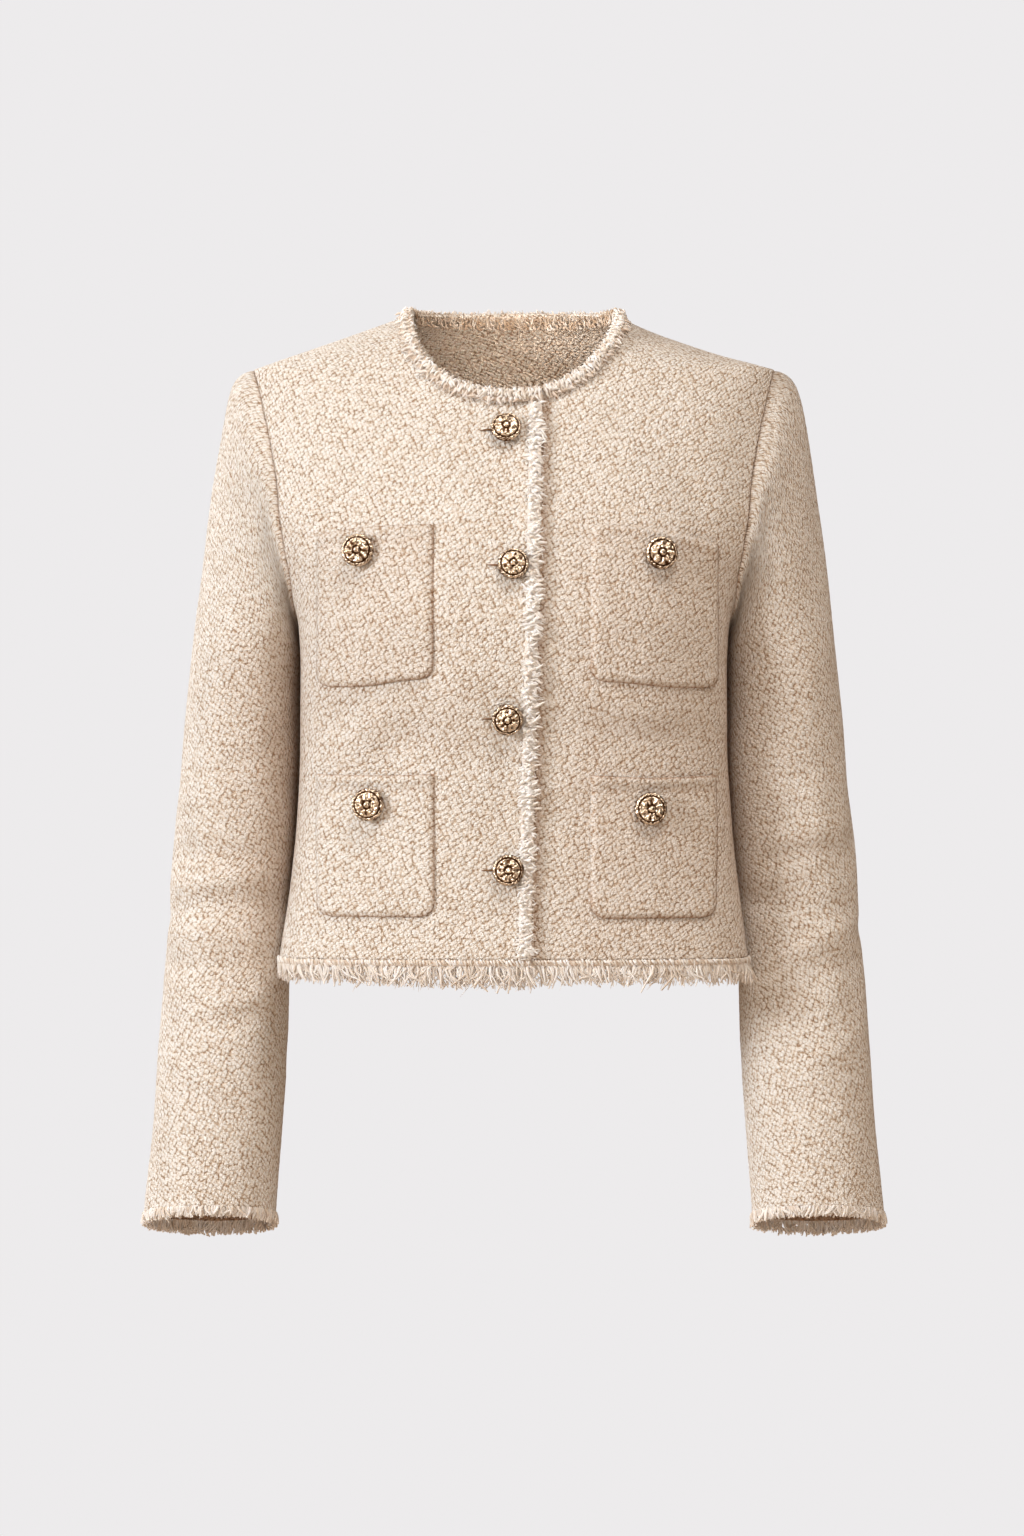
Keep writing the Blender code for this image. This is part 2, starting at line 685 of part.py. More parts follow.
def fringe(name, at, length, sizes, thickness, extra=None, closed=False):
    """A narrow band with locks fused along one edge.

    at(share, distance, height) gives a point by the share along the band, the distance from its
    root and the height through its thickness. A closed band runs all the way round.
    """
    draw = random.Random(name)
    count = round(length / LOCK_PITCH)
    stops, first_lock = lock_stops(count, closed)
    corners = ((0, thickness), (sizes["band"], thickness), (sizes["band"], 0), (0, 0))
    bm = bmesh.new()
    rings = [[bm.verts.new(at(stop, *corner)) for corner in corners] for stop in stops]
    for i in range(len(rings) if closed else len(rings) - 1):
        a, b = rings[i], rings[(i + 1) % len(rings)]
        has_lock = i % 2 == first_lock
        for k in range(4):
            if not (has_lock and k == 1):
                bm.faces.new((a[k], b[k], b[(k + 1) % 4], a[(k + 1) % 4]))
        if has_lock:
            start, end = stops[i], stops[i + 1]
            reach = sizes["band"] + sizes["lock"] * draw.uniform(LOCK_SHORTEST, 1)
            if extra:
                reach += extra((start + end) / 2)
            lean = draw.uniform(-LOCK_LEAN, LOCK_LEAN)
            add_lock(bm, at, start, end, (a[1], a[2], b[1], b[2]), reach, thickness, lean)
    if not closed:
        bm.faces.new(rings[0])
        bm.faces.new(rings[-1])
    bmesh.ops.recalc_face_normals(bm, faces=bm.faces)
    return add_object(name, bm, TRIM_TWEED)


def line_length(place, surface):
    points = [surface(*place(i / LINE_STEPS)) for i in range(LINE_STEPS + 1)]
    return sum((b - a).length for a, b in zip(points, points[1:]))


def lying_on(place, surface, outwards):
    """A fringe's at() for a band that lies on the cloth beside a neckline, reaching away from the neck."""
    neck_middle = Vector((0, 0, 2 * NECK_TOP))

    def at(share, distance, height):
        here = place(min(max(share, 0), 1))
        before, after = place(max(share - SHARE_STEP, 0)), place(min(share + SHARE_STEP, 1))
        tangent = (surface(*after) - surface(*before)).normalized()
        point, normal = with_normal(surface, *here)
        sideways = tangent.cross(normal).normalized()
        if sideways.dot(point - neck_middle) < 0:
            sideways = -sideways
        return outwards(*slide(surface, here, sideways * (distance + TRIM_EDGE)), LAYER_GAP + height)

    return at


def neck_trim_front(name, side):
    """From the front's edge to the shoulder; the left one starts beside the front that lies on it."""
    line, surface = neck_front(side), body_surface(side)
    clear_x = FRONT_EDGE_TOP + PLACKET_TRIM["lock"] + NECK_TRIM_CLEARANCE
    start = 0.0
    if side == LEFT:
        start = solve(lambda share: surface(*line(share)).x, clear_x, 0, 1)

    def place(share):
        return line(mix(start, NECK_TRIM_END, share))

    at = lying_on(place, surface, lambda angle, height, out: front_outward(side, angle, height, out))
    fringe(name, at, line_length(place, surface), NECK_TRIM, TRIM_THICKNESS)


def neck_trim_back(name):
    surface = body_surface(LEFT)

    def place(share):
        angle, height = neck_back(abs(2 * share - 1) * NECK_TRIM_END)
        return (angle if share < 0.5 else math.tau - angle), height

    at = lying_on(place, surface, lambda angle, height, out: body_outward(LEFT, angle, height, out))
    fringe(name, at, line_length(place, surface), NECK_TRIM, TRIM_THICKNESS)


def placket_trim(name):
    """Along the right front's edge, below the neck trim, with its locks hanging past the edge."""
    edge, surface = front_edge(RIGHT), body_surface(RIGHT)
    length = line_length(edge, surface)
    top = 1 - (NECK_TRIM["band"] + NECK_TRIM["lock"] + NECK_TRIM_CLEARANCE) / length

    def at(share, distance, height):
        angle, level = edge(top * min(max(share, 0), 1))
        x = surface(angle, level).x - PLACKET_TRIM["band"] + distance
        return front_outward(RIGHT, angle_at_x(RIGHT, x, level), level, LAYER_GAP + height)

    fringe(name, at, length * top, PLACKET_TRIM, TRIM_THICKNESS)


def hem_fringe(name, side, start, end, outwards, extra=None):
    """Below the hem between two body angles, in line with the wall above it."""
    seam = SEAM_GAP / 2 / BODY.at(HEM)[1]

    def at(share, distance, height):
        angle = min(max(mix(start, end, share), start + seam), end - seam)
        return outwards(side, angle, HEM - SEAM_GAP - distance, height - WALL)

    length = line_length(lambda share: (mix(start, end, share), HEM), body_surface(side))
    fringe(name, at, length, HEM_FRINGE, WALL, extra)


def hem_fringes():
    right_start = angle_at_x(RIGHT, front_edge_x(RIGHT, 0), HEM)
    left_start = angle_at_x(LEFT, front_edge_x(LEFT, 0), HEM)

    def longer_at_the_corner(share):
        return FRONT_FRINGE_EXTRA * (1 - smooth(EXTRA_FULL_TO, EXTRA_NONE_FROM, share))

    hem_fringe("fringe_hem_right", RIGHT, right_start, math.pi / 2, front_outward, longer_at_the_corner)
    hem_fringe("fringe_hem_left", LEFT, left_start, math.pi / 2, front_outward)
    hem_fringe("fringe_hem_back", LEFT, math.pi / 2, 1.5 * math.pi, body_outward)


def cuff_fringe(name, side):
    cuff_run = 1 + SLEEVE_TOP - CUFF

    def at(turn, distance, height):
        return sleeve_place(side, turn, cuff_run + SEAM_GAP + distance, height - WALL)

    length = line_length(lambda share: (share, cuff_run), sleeve_surface(side))
    fringe(name, at, length, CUFF_FRINGE, WALL, closed=True)


def clear_scene():
    for made in list(bpy.data.objects):
        bpy.data.objects.remove(made, do_unlink=True)


def main():
    clear_scene()
    front_panel("front_right", RIGHT, TWEED)
    front_panel("front_left", LEFT, TWEED)
    back_panel("back", TWEED_SHADE)
    sleeve("sleeve_right", RIGHT, TWEED)
    sleeve("sleeve_left", LEFT, TWEED)
    for name, side, outer_x, inner_x, top, bottom, sag in POCKETS:
        pocket(f"pocket_{name}", side, outer_x, inner_x, top, bottom, sag, TWEED)
    for i, (x, height) in enumerate(FRONT_BUTTONS, 1):
        button(f"button_front_{i}", RIGHT, x, height, 0)
    for name, side, x, height in POCKET_BUTTONS:
        button(f"button_pocket_{name}", side, side * x, height, LAYER_GAP + POCKET_WALL)
    neck_trim_front("trim_neck_right", RIGHT)
    neck_trim_front("trim_neck_left", LEFT)
    neck_trim_back("trim_neck_back")
    placket_trim("trim_placket")
    hem_fringes()
    cuff_fringe("fringe_cuff_right", RIGHT)
    cuff_fringe("fringe_cuff_left", LEFT)


main()
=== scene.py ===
import math

import bmesh
import bpy
import numpy as np
from mathutils import Matrix, Vector


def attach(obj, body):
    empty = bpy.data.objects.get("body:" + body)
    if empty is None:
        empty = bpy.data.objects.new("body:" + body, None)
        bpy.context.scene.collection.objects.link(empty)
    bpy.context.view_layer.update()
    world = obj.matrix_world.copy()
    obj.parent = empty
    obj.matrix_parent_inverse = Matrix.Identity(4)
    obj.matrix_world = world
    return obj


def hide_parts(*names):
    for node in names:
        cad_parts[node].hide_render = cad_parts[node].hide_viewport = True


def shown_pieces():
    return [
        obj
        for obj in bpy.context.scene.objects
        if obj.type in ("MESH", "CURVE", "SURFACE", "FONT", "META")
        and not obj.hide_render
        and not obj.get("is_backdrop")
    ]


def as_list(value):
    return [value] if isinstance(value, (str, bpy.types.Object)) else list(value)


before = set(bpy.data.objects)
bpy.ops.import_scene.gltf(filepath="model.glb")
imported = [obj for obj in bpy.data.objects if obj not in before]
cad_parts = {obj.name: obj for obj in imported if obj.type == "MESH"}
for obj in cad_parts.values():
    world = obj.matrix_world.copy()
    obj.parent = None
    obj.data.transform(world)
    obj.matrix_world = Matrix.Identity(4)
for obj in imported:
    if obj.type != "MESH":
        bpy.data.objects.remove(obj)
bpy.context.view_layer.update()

pi = math.pi
right, left = -1, 1  # the wearer's sides
print("frame loaded:", len(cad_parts), "solids")


# small helpers on arrays

def mix(a, b, share):
    return a + (b - a) * share


def smooth(start, end, value):
    t = np.clip((value - start) / (end - start), 0, 1)
    return t * t * (3 - 2 * t)


def unit(vectors):
    return vectors / np.maximum(np.linalg.norm(vectors, axis=-1, keepdims=True), 1e-12)


def bell(value, middle, width):
    return np.exp(-(((value - middle) / width) ** 2))


def gaps(points, axis=0):  # the distances between neighbours
    return np.linalg.norm(np.diff(points, axis=axis), axis=-1)


def running(steps, axis=0):  # the sum so far, from 0
    return np.concatenate([0 * steps.take([0], axis), np.cumsum(steps, axis)], axis)


def cellRandom(i, j, seed):  # a fixed number from 0 to 1 for each cell of a lattice
    n = np.asarray(i).astype(np.int64) * 374761393 + np.asarray(j).astype(np.int64) * 668265263
    n = (n + seed * 974711) & 0xFFFFFFFF
    n = ((n ^ (n >> 13)) * 1274126177) & 0xFFFFFFFF
    return ((n ^ (n >> 16)) & 0xFFFFFF) / 0xFFFFFF


def softNoise(x, y, seed):
    i, j = np.floor(x), np.floor(y)
    fx, fy = smooth(0, 1, x - i), smooth(0, 1, y - j)
    low = mix(cellRandom(i, j, seed), cellRandom(i + 1, j, seed), fx)
    high = mix(cellRandom(i, j + 1, seed), cellRandom(i + 1, j + 1, seed), fx)
    return 2 * mix(low, high, fy) - 1


def halve(function, target, low, high):  # where a rising function reaches the target
    low = np.zeros_like(target) + low
    high = np.zeros_like(target) + high
    for _ in range(36):
        middle = (low + high) / 2
        below = function(middle) < target
        low, high = np.where(below, middle, low), np.where(below, high, middle)
    return (low + high) / 2


def smoothTable(rows):
    keys = np.array([row[0] for row in rows], float)
    values = np.array([row[1:] for row in rows], float)
    steps = np.diff(values, axis=0) / np.diff(keys)[:, None]
    product, total = steps[:-1] * steps[1:], steps[:-1] + steps[1:]
    inner = np.where(product > 0, 2 * product / np.where(total == 0, 1, total), 0)
    slopes = np.vstack([steps[:1], inner, steps[-1:]])

    def at(key):
        key = np.asarray(key, float)
        i = np.clip(np.searchsorted(keys, key, side="right") - 1, 0, len(keys) - 2)
        span = (keys[i + 1] - keys[i])[..., None]
        t = np.clip((key - keys[i]) / (keys[i + 1] - keys[i]), 0, 1)[..., None]
        a, b = values[i], values[i + 1]
        pulls = span * t * (1 - t) ** 2 * slopes[i] - span * t * t * (1 - t) * slopes[i + 1]
        return a + (b - a) * t * t * (3 - 2 * t) + pulls

    return at


# the body that the cloth hangs round: angle 0 is the centre front, a quarter turn the side

cut = {
    "wall": 0.0026, "layerGap": 0.0009, "seamGap": 0.00006,
    "neckTop": 0.0245, "neckFrontDrop": 0.0645, "neckBackRise": 0.0035,
    "underarm": -0.2055, "hem": -0.4380,
    "neckRoundness": {right: 2.3, left: 1.8},
    "armholeTop": -0.0185, "armholeFront": 0.060, "armholeBack": 0.058, "armholeEgg": 0.40,
    "shoulderSkew": 0.0021,
    "edgeAtNeck": 0.0195, "edgeAtHem": 0.0110, "underlapEdge": -0.0220,
    "liftFrom": -0.092, "liftFull": -0.030,
    "cornerStart": math.radians(56), "cornerEnd": math.radians(86),
}
cut["lift"] = cut["wall"] + cut["layerGap"]

bodyTable = smoothTable((
    # height, half width at front corner, at side, at back corner, front depth, back depth, squareness
    (-0.475, 0.2010, 0.1620, 0.1780, 0.1210, 0.1080, 2.5),
    (-0.438, 0.1950, 0.1600, 0.1760, 0.1190, 0.1060, 2.5),
    (-0.400, 0.1860, 0.1570, 0.1730, 0.1160, 0.1020, 2.5),
    (-0.345, 0.1740, 0.1530, 0.1680, 0.1140, 0.0970, 2.5),
    (-0.290, 0.1690, 0.1505, 0.1650, 0.1170, 0.0960, 2.5),
    (-0.240, 0.1670, 0.1505, 0.1650, 0.1240, 0.1000, 2.5),
    (-0.205, 0.1665, 0.1530, 0.1660, 0.1255, 0.1040, 2.5),
    (-0.175, 0.1720, 0.1660, 0.1720, 0.1210, 0.1070, 2.45),
    (-0.148, 0.1830, 0.1800, 0.1810, 0.1150, 0.1070, 2.45),
    (-0.120, 0.1895, 0.1880, 0.1870, 0.1050, 0.1050, 2.5),
    (-0.087, 0.1900, 0.1895, 0.1880, 0.0930, 0.1000, 2.5),
    (-0.054, 0.1890, 0.1890, 0.1880, 0.0790, 0.0900, 2.45),
    (-0.0185, 0.1875, 0.1875, 0.1875, 0.0620, 0.0760, 2.25),
    (-0.0170, 0.1820, 0.1820, 0.1820, 0.0614, 0.0753, 2.25),
    (-0.0036, 0.1390, 0.1390, 0.1390, 0.0545, 0.0690, 2.2),
    (0.0137, 0.0920, 0.0920, 0.0920, 0.0455, 0.0600, 2.15),
    (0.0185, 0.0810, 0.0810, 0.0810, 0.0435, 0.0575, 2.15),
    (0.0245, 0.0722, 0.0722, 0.0722, 0.0415, 0.0545, 2.15),
    (0.0350, 0.0630, 0.0630, 0.0630, 0.0390, 0.0510, 2.1),
))
neckHalf = float(bodyTable(cut["neckTop"])[0])


easing = {
    "low": -0.475, "high": 0.035, "rows": 103, "reach": 0.014, "fade": 0.018, "zone": 0.022,
    "crispSide": 0.40,  # how far round from the side seam the bends fade out, in radians
}


def easedRows():  # the same table with its bends softened, for the cloth away from the side seam
    heights = np.linspace(easing["low"], easing["high"], easing["rows"])
    nearby = np.linspace(-easing["reach"], easing["reach"], 9)
    weights = (1 - np.abs(nearby) / easing["fade"])[None, :, None]
    spread = np.clip(heights[:, None] + nearby[None, :], easing["low"], easing["high"])
    means = (bodyTable(spread) * weights).sum(1) / weights.sum()
    near = np.exp(-(((heights - cut["armholeTop"]) / easing["zone"]) ** 4))[:, None]
    return np.column_stack([heights, mix(bodyTable(heights), means, near)])


easedTable = smoothTable(easedRows())


def roundedRadius(angle, across, along, squareness):
    fore, aside = np.abs(np.cos(angle)) / along, np.abs(np.sin(angle)) / across
    return (fore**squareness + aside**squareness) ** (-1 / squareness)


def bodyRadius(side, angle, height):
    low = np.maximum(height - cut["armholeTop"], 0)
    high = np.maximum(cut["neckTop"] - height, 0)
    halfway = 4 * low * high / (cut["neckTop"] - cut["armholeTop"]) ** 2
    height = height + side * cut["shoulderSkew"] * halfway * np.sin(angle) ** 2
    turn = np.abs((angle + pi) % (2 * pi) - pi)
    fromSide = smooth(0, easing["crispSide"], np.abs(turn - pi / 2))[..., None]
    table = mix(bodyTable(height), easedTable(height), fromSide)
    front, sideHalf, back, frontDepth, backDepth, squareness = np.moveaxis(table, -1, 0)
    isFront = turn <= pi / 2
    half = np.where(
        isFront,
        mix(front, sideHalf, smooth(cut["cornerStart"], cut["cornerEnd"], turn)),
        mix(sideHalf, back, smooth(pi - cut["cornerEnd"], pi - cut["cornerStart"], turn)),
    )
    return roundedRadius(turn, half, np.where(isFront, frontDepth, backDepth), squareness)


def bodyPoint(side, angle, height):
    ownSide = np.where(np.sin(angle) >= 0, side, -side)
    radius = bodyRadius(ownSide, angle, height)
    return np.stack([side * radius * np.sin(angle), -radius * np.cos(angle), height + 0 * radius], -1)


def bodySlopes(side, angle, height):  # how the surface runs, for each radian and each metre up
    turnStep, rise = 0.003, 0.0006
    along = bodyPoint(side, angle + turnStep, height) - bodyPoint(side, angle - turnStep, height)
    up = bodyPoint(side, angle, height + rise) - bodyPoint(side, angle, height - rise)
    return along / (2 * turnStep), up / (2 * rise)


def bodyWithNormal(side, angle, height):
    angle, height = np.broadcast_arrays(np.asarray(angle, float), np.asarray(height, float))
    return bodyPoint(side, angle, height), unit(np.cross(*bodySlopes(side, angle, height))) * side


def frontLift(side, x):  # the right front rises where it lies on the left one
    return cut["lift"] * smooth(cut["liftFrom"], cut["liftFull"], x) if side == right else 0 * x


def frontWithNormal(side, angle, height):
    point, normal = bodyWithNormal(side, angle, height)
    return point + normal * frontLift(side, point[..., 0])[..., None], normal


def angleAtX(side, x, height):
    x, height = np.broadcast_arrays(np.asarray(x, float), np.asarray(height, float))
    reach = side * x
    found = halve(lambda a: bodyRadius(side, a, height) * np.sin(a), np.abs(reach), 0, pi / 2)
    return np.copysign(found, reach)


def slide(side, angle, height, step):  # the place reached by moving along the surface
    for _ in range(3):
        along, up = bodySlopes(side, angle, height)
        aa, ab, bb = (along * along).sum(-1), (along * up).sum(-1), (up * up).sum(-1)
        sa, sb = (step * along).sum(-1) / 3, (step * up).sum(-1) / 3
        fall = aa * bb - ab * ab
        angle, height = angle + (sa * bb - sb * ab) / fall, height + (sb * aa - sa * ab) / fall
    return angle, height


# the lines that the pieces are cut along, as angle and height by a share from 0 to 1

def frontEdgeX(side, share):
    if side == right:
        return mix(cut["edgeAtHem"], cut["edgeAtNeck"], np.asarray(share, float))
    return cut["underlapEdge"] + 0 * np.asarray(share, float)


def neckFrontHeight(side, x):
    power = cut["neckRoundness"][side if side * x > 0 else -side]
    return cut["neckTop"] - cut["neckFrontDrop"] * max(1 - (abs(x) / neckHalf) ** power, 0) ** (1 / power)


def frontEdge(side, share):
    top = neckFrontHeight(side, float(frontEdgeX(side, 1)))
    height = mix(cut["hem"], top, np.asarray(share, float))
    return angleAtX(side, frontEdgeX(side, share), height), height


def neckFront(side, share):
    startX = side * float(frontEdgeX(side, 1))
    start = math.copysign(math.asin(abs(startX) / neckHalf), startX)
    turn = mix(start, pi / 2, np.asarray(share, float))
    power = np.where(turn > 0, cut["neckRoundness"][side], cut["neckRoundness"][-side])
    radius = roundedRadius(turn, neckHalf, cut["neckFrontDrop"], power)
    height = cut["neckTop"] - radius * np.cos(turn)
    angle = angleAtX(side, side * radius * np.sin(turn), height)
    atShoulder = turn > pi / 2 - 1e-6
    return np.where(atShoulder, pi / 2, angle), np.where(atShoulder, cut["neckTop"], height)


def neckBack(share):
    share = np.asarray(share, float)
    height = cut["neckTop"] + cut["neckBackRise"] * np.cos(share * pi / 2) ** 2
    return mix(pi, pi / 2, share), height


def centreBack(share):
    share = np.asarray(share, float)
    return pi + 0 * share, mix(cut["hem"], cut["neckTop"] + cut["neckBackRise"], share)


def armhole(side, turn):  # turn 0 is the shoulder, a half the underarm, the front comes first
    turn = np.asarray(turn, float)
    angle = turn * 2 * pi
    middle = (cut["armholeTop"] + cut["underarm"]) / 2
    height = middle + (cut["armholeTop"] - cut["underarm"]) / 2 * np.cos(angle)
    reach = np.where(turn < 0.5, cut["armholeFront"], cut["armholeBack"])
    forward = reach * np.sin(angle) * (1 - cut["armholeEgg"] * np.cos(angle))
    nearly = 0.2  # no armhole comes as close as this to the middle of the front or of the back
    found = halve(lambda a: -bodyRadius(side, a, height) * np.cos(a), -forward, nearly, pi - nearly)
    return found, height


def evenly(side, place, shares):  # places along a line, evenly by distance on the surface
    fine = np.linspace(0, 1, 401)
    run = running(gaps(bodyPoint(side, *place(fine))))
    return place(np.interp(np.asarray(shares) * run[-1], run, fine))


# cloth: a dense outer face, a coarser inner one, and a bridged edge

cloth = {
    "nub": 0.0046,  # how far apart the nubs of the weave lie
    "nubHeight": 0.00022, "nubSunk": 0.35, "nubScatter": 0.7,
    "nubSizes": (0.40, 0.58), "nubHeights": (0.65, 1.15),
    "innerStep": 3,  # how many cells of the outer face lie on one of the inner face
    "seamDip": 0.0003, "seamWidth": 0.0016,
    "wave": 0.35, "waveLength": 2.2, "waveStart": 90,  # how a crease wavers off its line
}


def measured(points, reference):
    # how far each point of a grid lies across and along the cloth, in metres
    across = running(gaps(points, 1), 1)
    across -= across[:, reference : reference + 1]
    rowDirection = unit(np.gradient(points, axis=1))
    climb = np.diff(points, axis=0)
    aside = (climb * rowDirection[:-1]).sum(-1)
    rise = np.linalg.norm(climb - aside[..., None] * rowDirection[:-1], axis=2)
    return across + running(aside[:, reference])[:, None], running(rise)


grain = {"angles": np.linspace(-0.4, pi, 240), "heights": np.linspace(-0.445, 0.0325, 160)}


def grainTables(side):
    # girth from the centre front and height from just below the hem, both along the surface
    angle, height = np.meshgrid(grain["angles"], grain["heights"], indexing="ij")
    points = bodyPoint(side, angle, height)
    girth = running(gaps(points))
    start = int(np.argmin(np.abs(grain["angles"])))
    return girth - girth[start], running(gaps(points, 1), 1)


grain.update({side: grainTables(side) for side in (right, left)})


def alongGrain(side, angle, height, fromBack=False):
    # across and up the cloth, so that the weave runs level and upright on every panel
    places = []
    for value, line in ((angle, grain["angles"]), (height, grain["heights"])):
        size = len(line) - 1
        place = np.clip((value - line[0]) * size / (line[-1] - line[0]), 0, size - 1e-9)
        places.append((np.floor(place).astype(int), place - np.floor(place)))
    (i, fi), (j, fj) = places
    found = []
    for table in grain[side]:
        low = mix(table[i, j], table[i + 1, j], fi)
        found.append(mix(low, mix(table[i, j + 1], table[i + 1, j + 1], fi), fj))
    girth = found[0]
    if fromBack:
        girth = girth - mix(grain[side][0][-1][j], grain[side][0][-1][j + 1], fj)
    return side * girth, found[1]


def nubRelief(u, v, seed=5):
    # round nubs, one near the middle of each cell of a staggered lattice
    scatter = cloth["nubScatter"]
    row = np.floor(v / cloth["nub"])
    highest = np.zeros(np.broadcast(u, v).shape)
    for dj in (-1, 0, 1):
        j = row + dj
        cell = np.floor(u / cloth["nub"] - 0.5 * j)
        for di in (-1, 0, 1):
            i = cell + di
            x = i + 0.5 * j + 0.5 + scatter * (cellRandom(i, j, seed) - 0.5)
            y = j + 0.5 + scatter * (cellRandom(i, j, seed + 1) - 0.5)
            size = mix(*cloth["nubSizes"], cellRandom(i, j, seed + 2))
            far = ((u / cloth["nub"] - x) ** 2 + (v / cloth["nub"] - y) ** 2) / size**2
            height = mix(*cloth["nubHeights"], cellRandom(i, j, seed + 3))
            highest = np.maximum(highest, np.exp(-far) * height)
    return cloth["nubHeight"] * (highest - cloth["nubSunk"])


def creaseRelief(a, b, creases):
    # soft ridges and troughs: a, b of the middle, slope in degrees, half length, half width, height
    relief = np.zeros_like(a)
    for middleA, middleB, slope, halfLength, halfWidth, height in creases:
        c, s = math.cos(math.radians(slope)), math.sin(math.radians(slope))
        da, db = a - middleA, b - middleB
        run, off = (da * c + db * s) / halfLength, (db * c - da * s) / halfWidth
        off = off + cloth["wave"] * np.sin(cloth["waveLength"] * run + middleA * cloth["waveStart"])
        relief += height * bell(off, 0, 1) * np.clip(1 - run * run, 0, 1) ** 1.5
    return relief


def camel(first, name):  # such as pocketUpperRight
    return first + "".join(part.title() for part in name.split("_"))


def addObject(name, data):
    made = bpy.data.objects.new(name, data)
    bpy.context.scene.collection.objects.link(made)
    return made


def meshFrom(bm, name):
    mesh = bpy.data.meshes.new(name)
    bm.to_mesh(mesh)
    bm.free()
    return mesh


def setPoints(mesh, points):
    mesh.vertices.foreach_set("co", points.astype(np.float32).ravel())


def setFloats(mesh, name, values):
    layer = mesh.attributes.new(name, "FLOAT", "POINT")
    layer.data.foreach_set("value", values.astype(np.float32).ravel())


def thinned(grid):
    return grid[:: cloth["innerStep"], :: cloth["innerStep"]]


def clothPiece(name, patches, closedRound=False):
    # each patch is (outer, inner, (u, v), shade, inner shade): grids [row, column]; outer, (u, v) and shade
    # are whole, and both inner ones are thinned; shade is painted shade, a brown multiplied into the cloth's
    # colour
    step = cloth["innerStep"]
    bm = bmesh.new()
    bm.loops.layers.uv.new("clothMetres")
    sizes = [(patch[0].shape[0] - 1, patch[0].shape[1] - 1) for patch in patches]
    for every in (1, step):
        for rows, columns in sizes:
            bmesh.ops.create_grid(bm, x_segments=columns // every, y_segments=rows // every, size=1)
    bm.faces.ensure_lookup_table()
    for face in bm.faces[sum(rows * columns for rows, columns in sizes):]:
        face.material_index = 1
    mesh = meshFrom(bm, name)
    grids = {"points": [], "flat": [], "paintedShade": [], "rowShare": []}
    for isInner, every in ((False, 1), (True, step)):
        for outer, inner, weave, paintedShade, innerPaintedShade in patches:
            shares = np.linspace(0, 1, len(outer))[:, None] + 0 * paintedShade
            grids["points"].append((inner if isInner else outer).reshape(-1, 3))
            grids["flat"].append(np.stack(weave, -1)[::every, ::every].reshape(-1, 2))
            grids["paintedShade"].append((innerPaintedShade if isInner else paintedShade).ravel())
            grids["rowShare"].append(shares[::every, ::every].ravel())
    values = {key: np.concatenate(found) for key, found in grids.items()}
    setPoints(mesh, values["points"])
    corners = np.zeros(len(mesh.loops), np.int32)
    mesh.loops.foreach_get("vertex_index", corners)
    flat = values["flat"][corners].astype(np.float32)
    mesh.uv_layers["clothMetres"].data.foreach_set("uv", flat.ravel())
    for key in ("paintedShade", "rowShare"):
        setFloats(mesh, key, values[key])
    bm = bmesh.new()
    bm.from_mesh(mesh)
    if closedRound or len(patches) > 1:
        free = [vert for vert in bm.verts if vert.is_boundary]
        bmesh.ops.remove_doubles(bm, verts=free, dist=1e-6)
    share = bm.verts.layers.float["rowShare"]
    unsewn = [edge for edge in bm.edges if edge.is_boundary]
    loops = [unsewn]
    if closedRound:
        loops = [[e for e in unsewn if (e.verts[0][share] < 0.5) == first] for first in (True, False)]
    uvLayer = bm.loops.layers.uv["clothMetres"]
    for loop in loops:
        made = set(bmesh.ops.bridge_loops(bm, edges=loop)["faces"])
        for face in made:
            face.material_index = 0
            for corner in face.loops:
                known = next((x for x in corner.vert.link_loops if x.face not in made), None)
                if known:
                    corner[uvLayer].uv = known[uvLayer].uv
    bmesh.ops.recalc_face_normals(bm, faces=bm.faces)
    bm.verts.layers.float.remove(bm.verts.layers.float["rowShare"])
    bm.to_mesh(mesh)
    bm.free()
    mesh.shade_smooth()
    return addObject(name, mesh)


def finishPiece(made, slot, materials, *nodes):
    for material in materials:
        made.data.materials.append(material)
    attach(made, "root")
    if nodes:
        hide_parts(*nodes)
    return made


coarser = 1


def segments(length, cell):  # a whole number of cells, and of inner cells
    step = cloth["innerStep"]
    return max(round(length / (cell * coarser) / step), 2) * step


# materials

def setInputs(node, values):
    for key, value in values.items():
        node.inputs[key].default_value = value


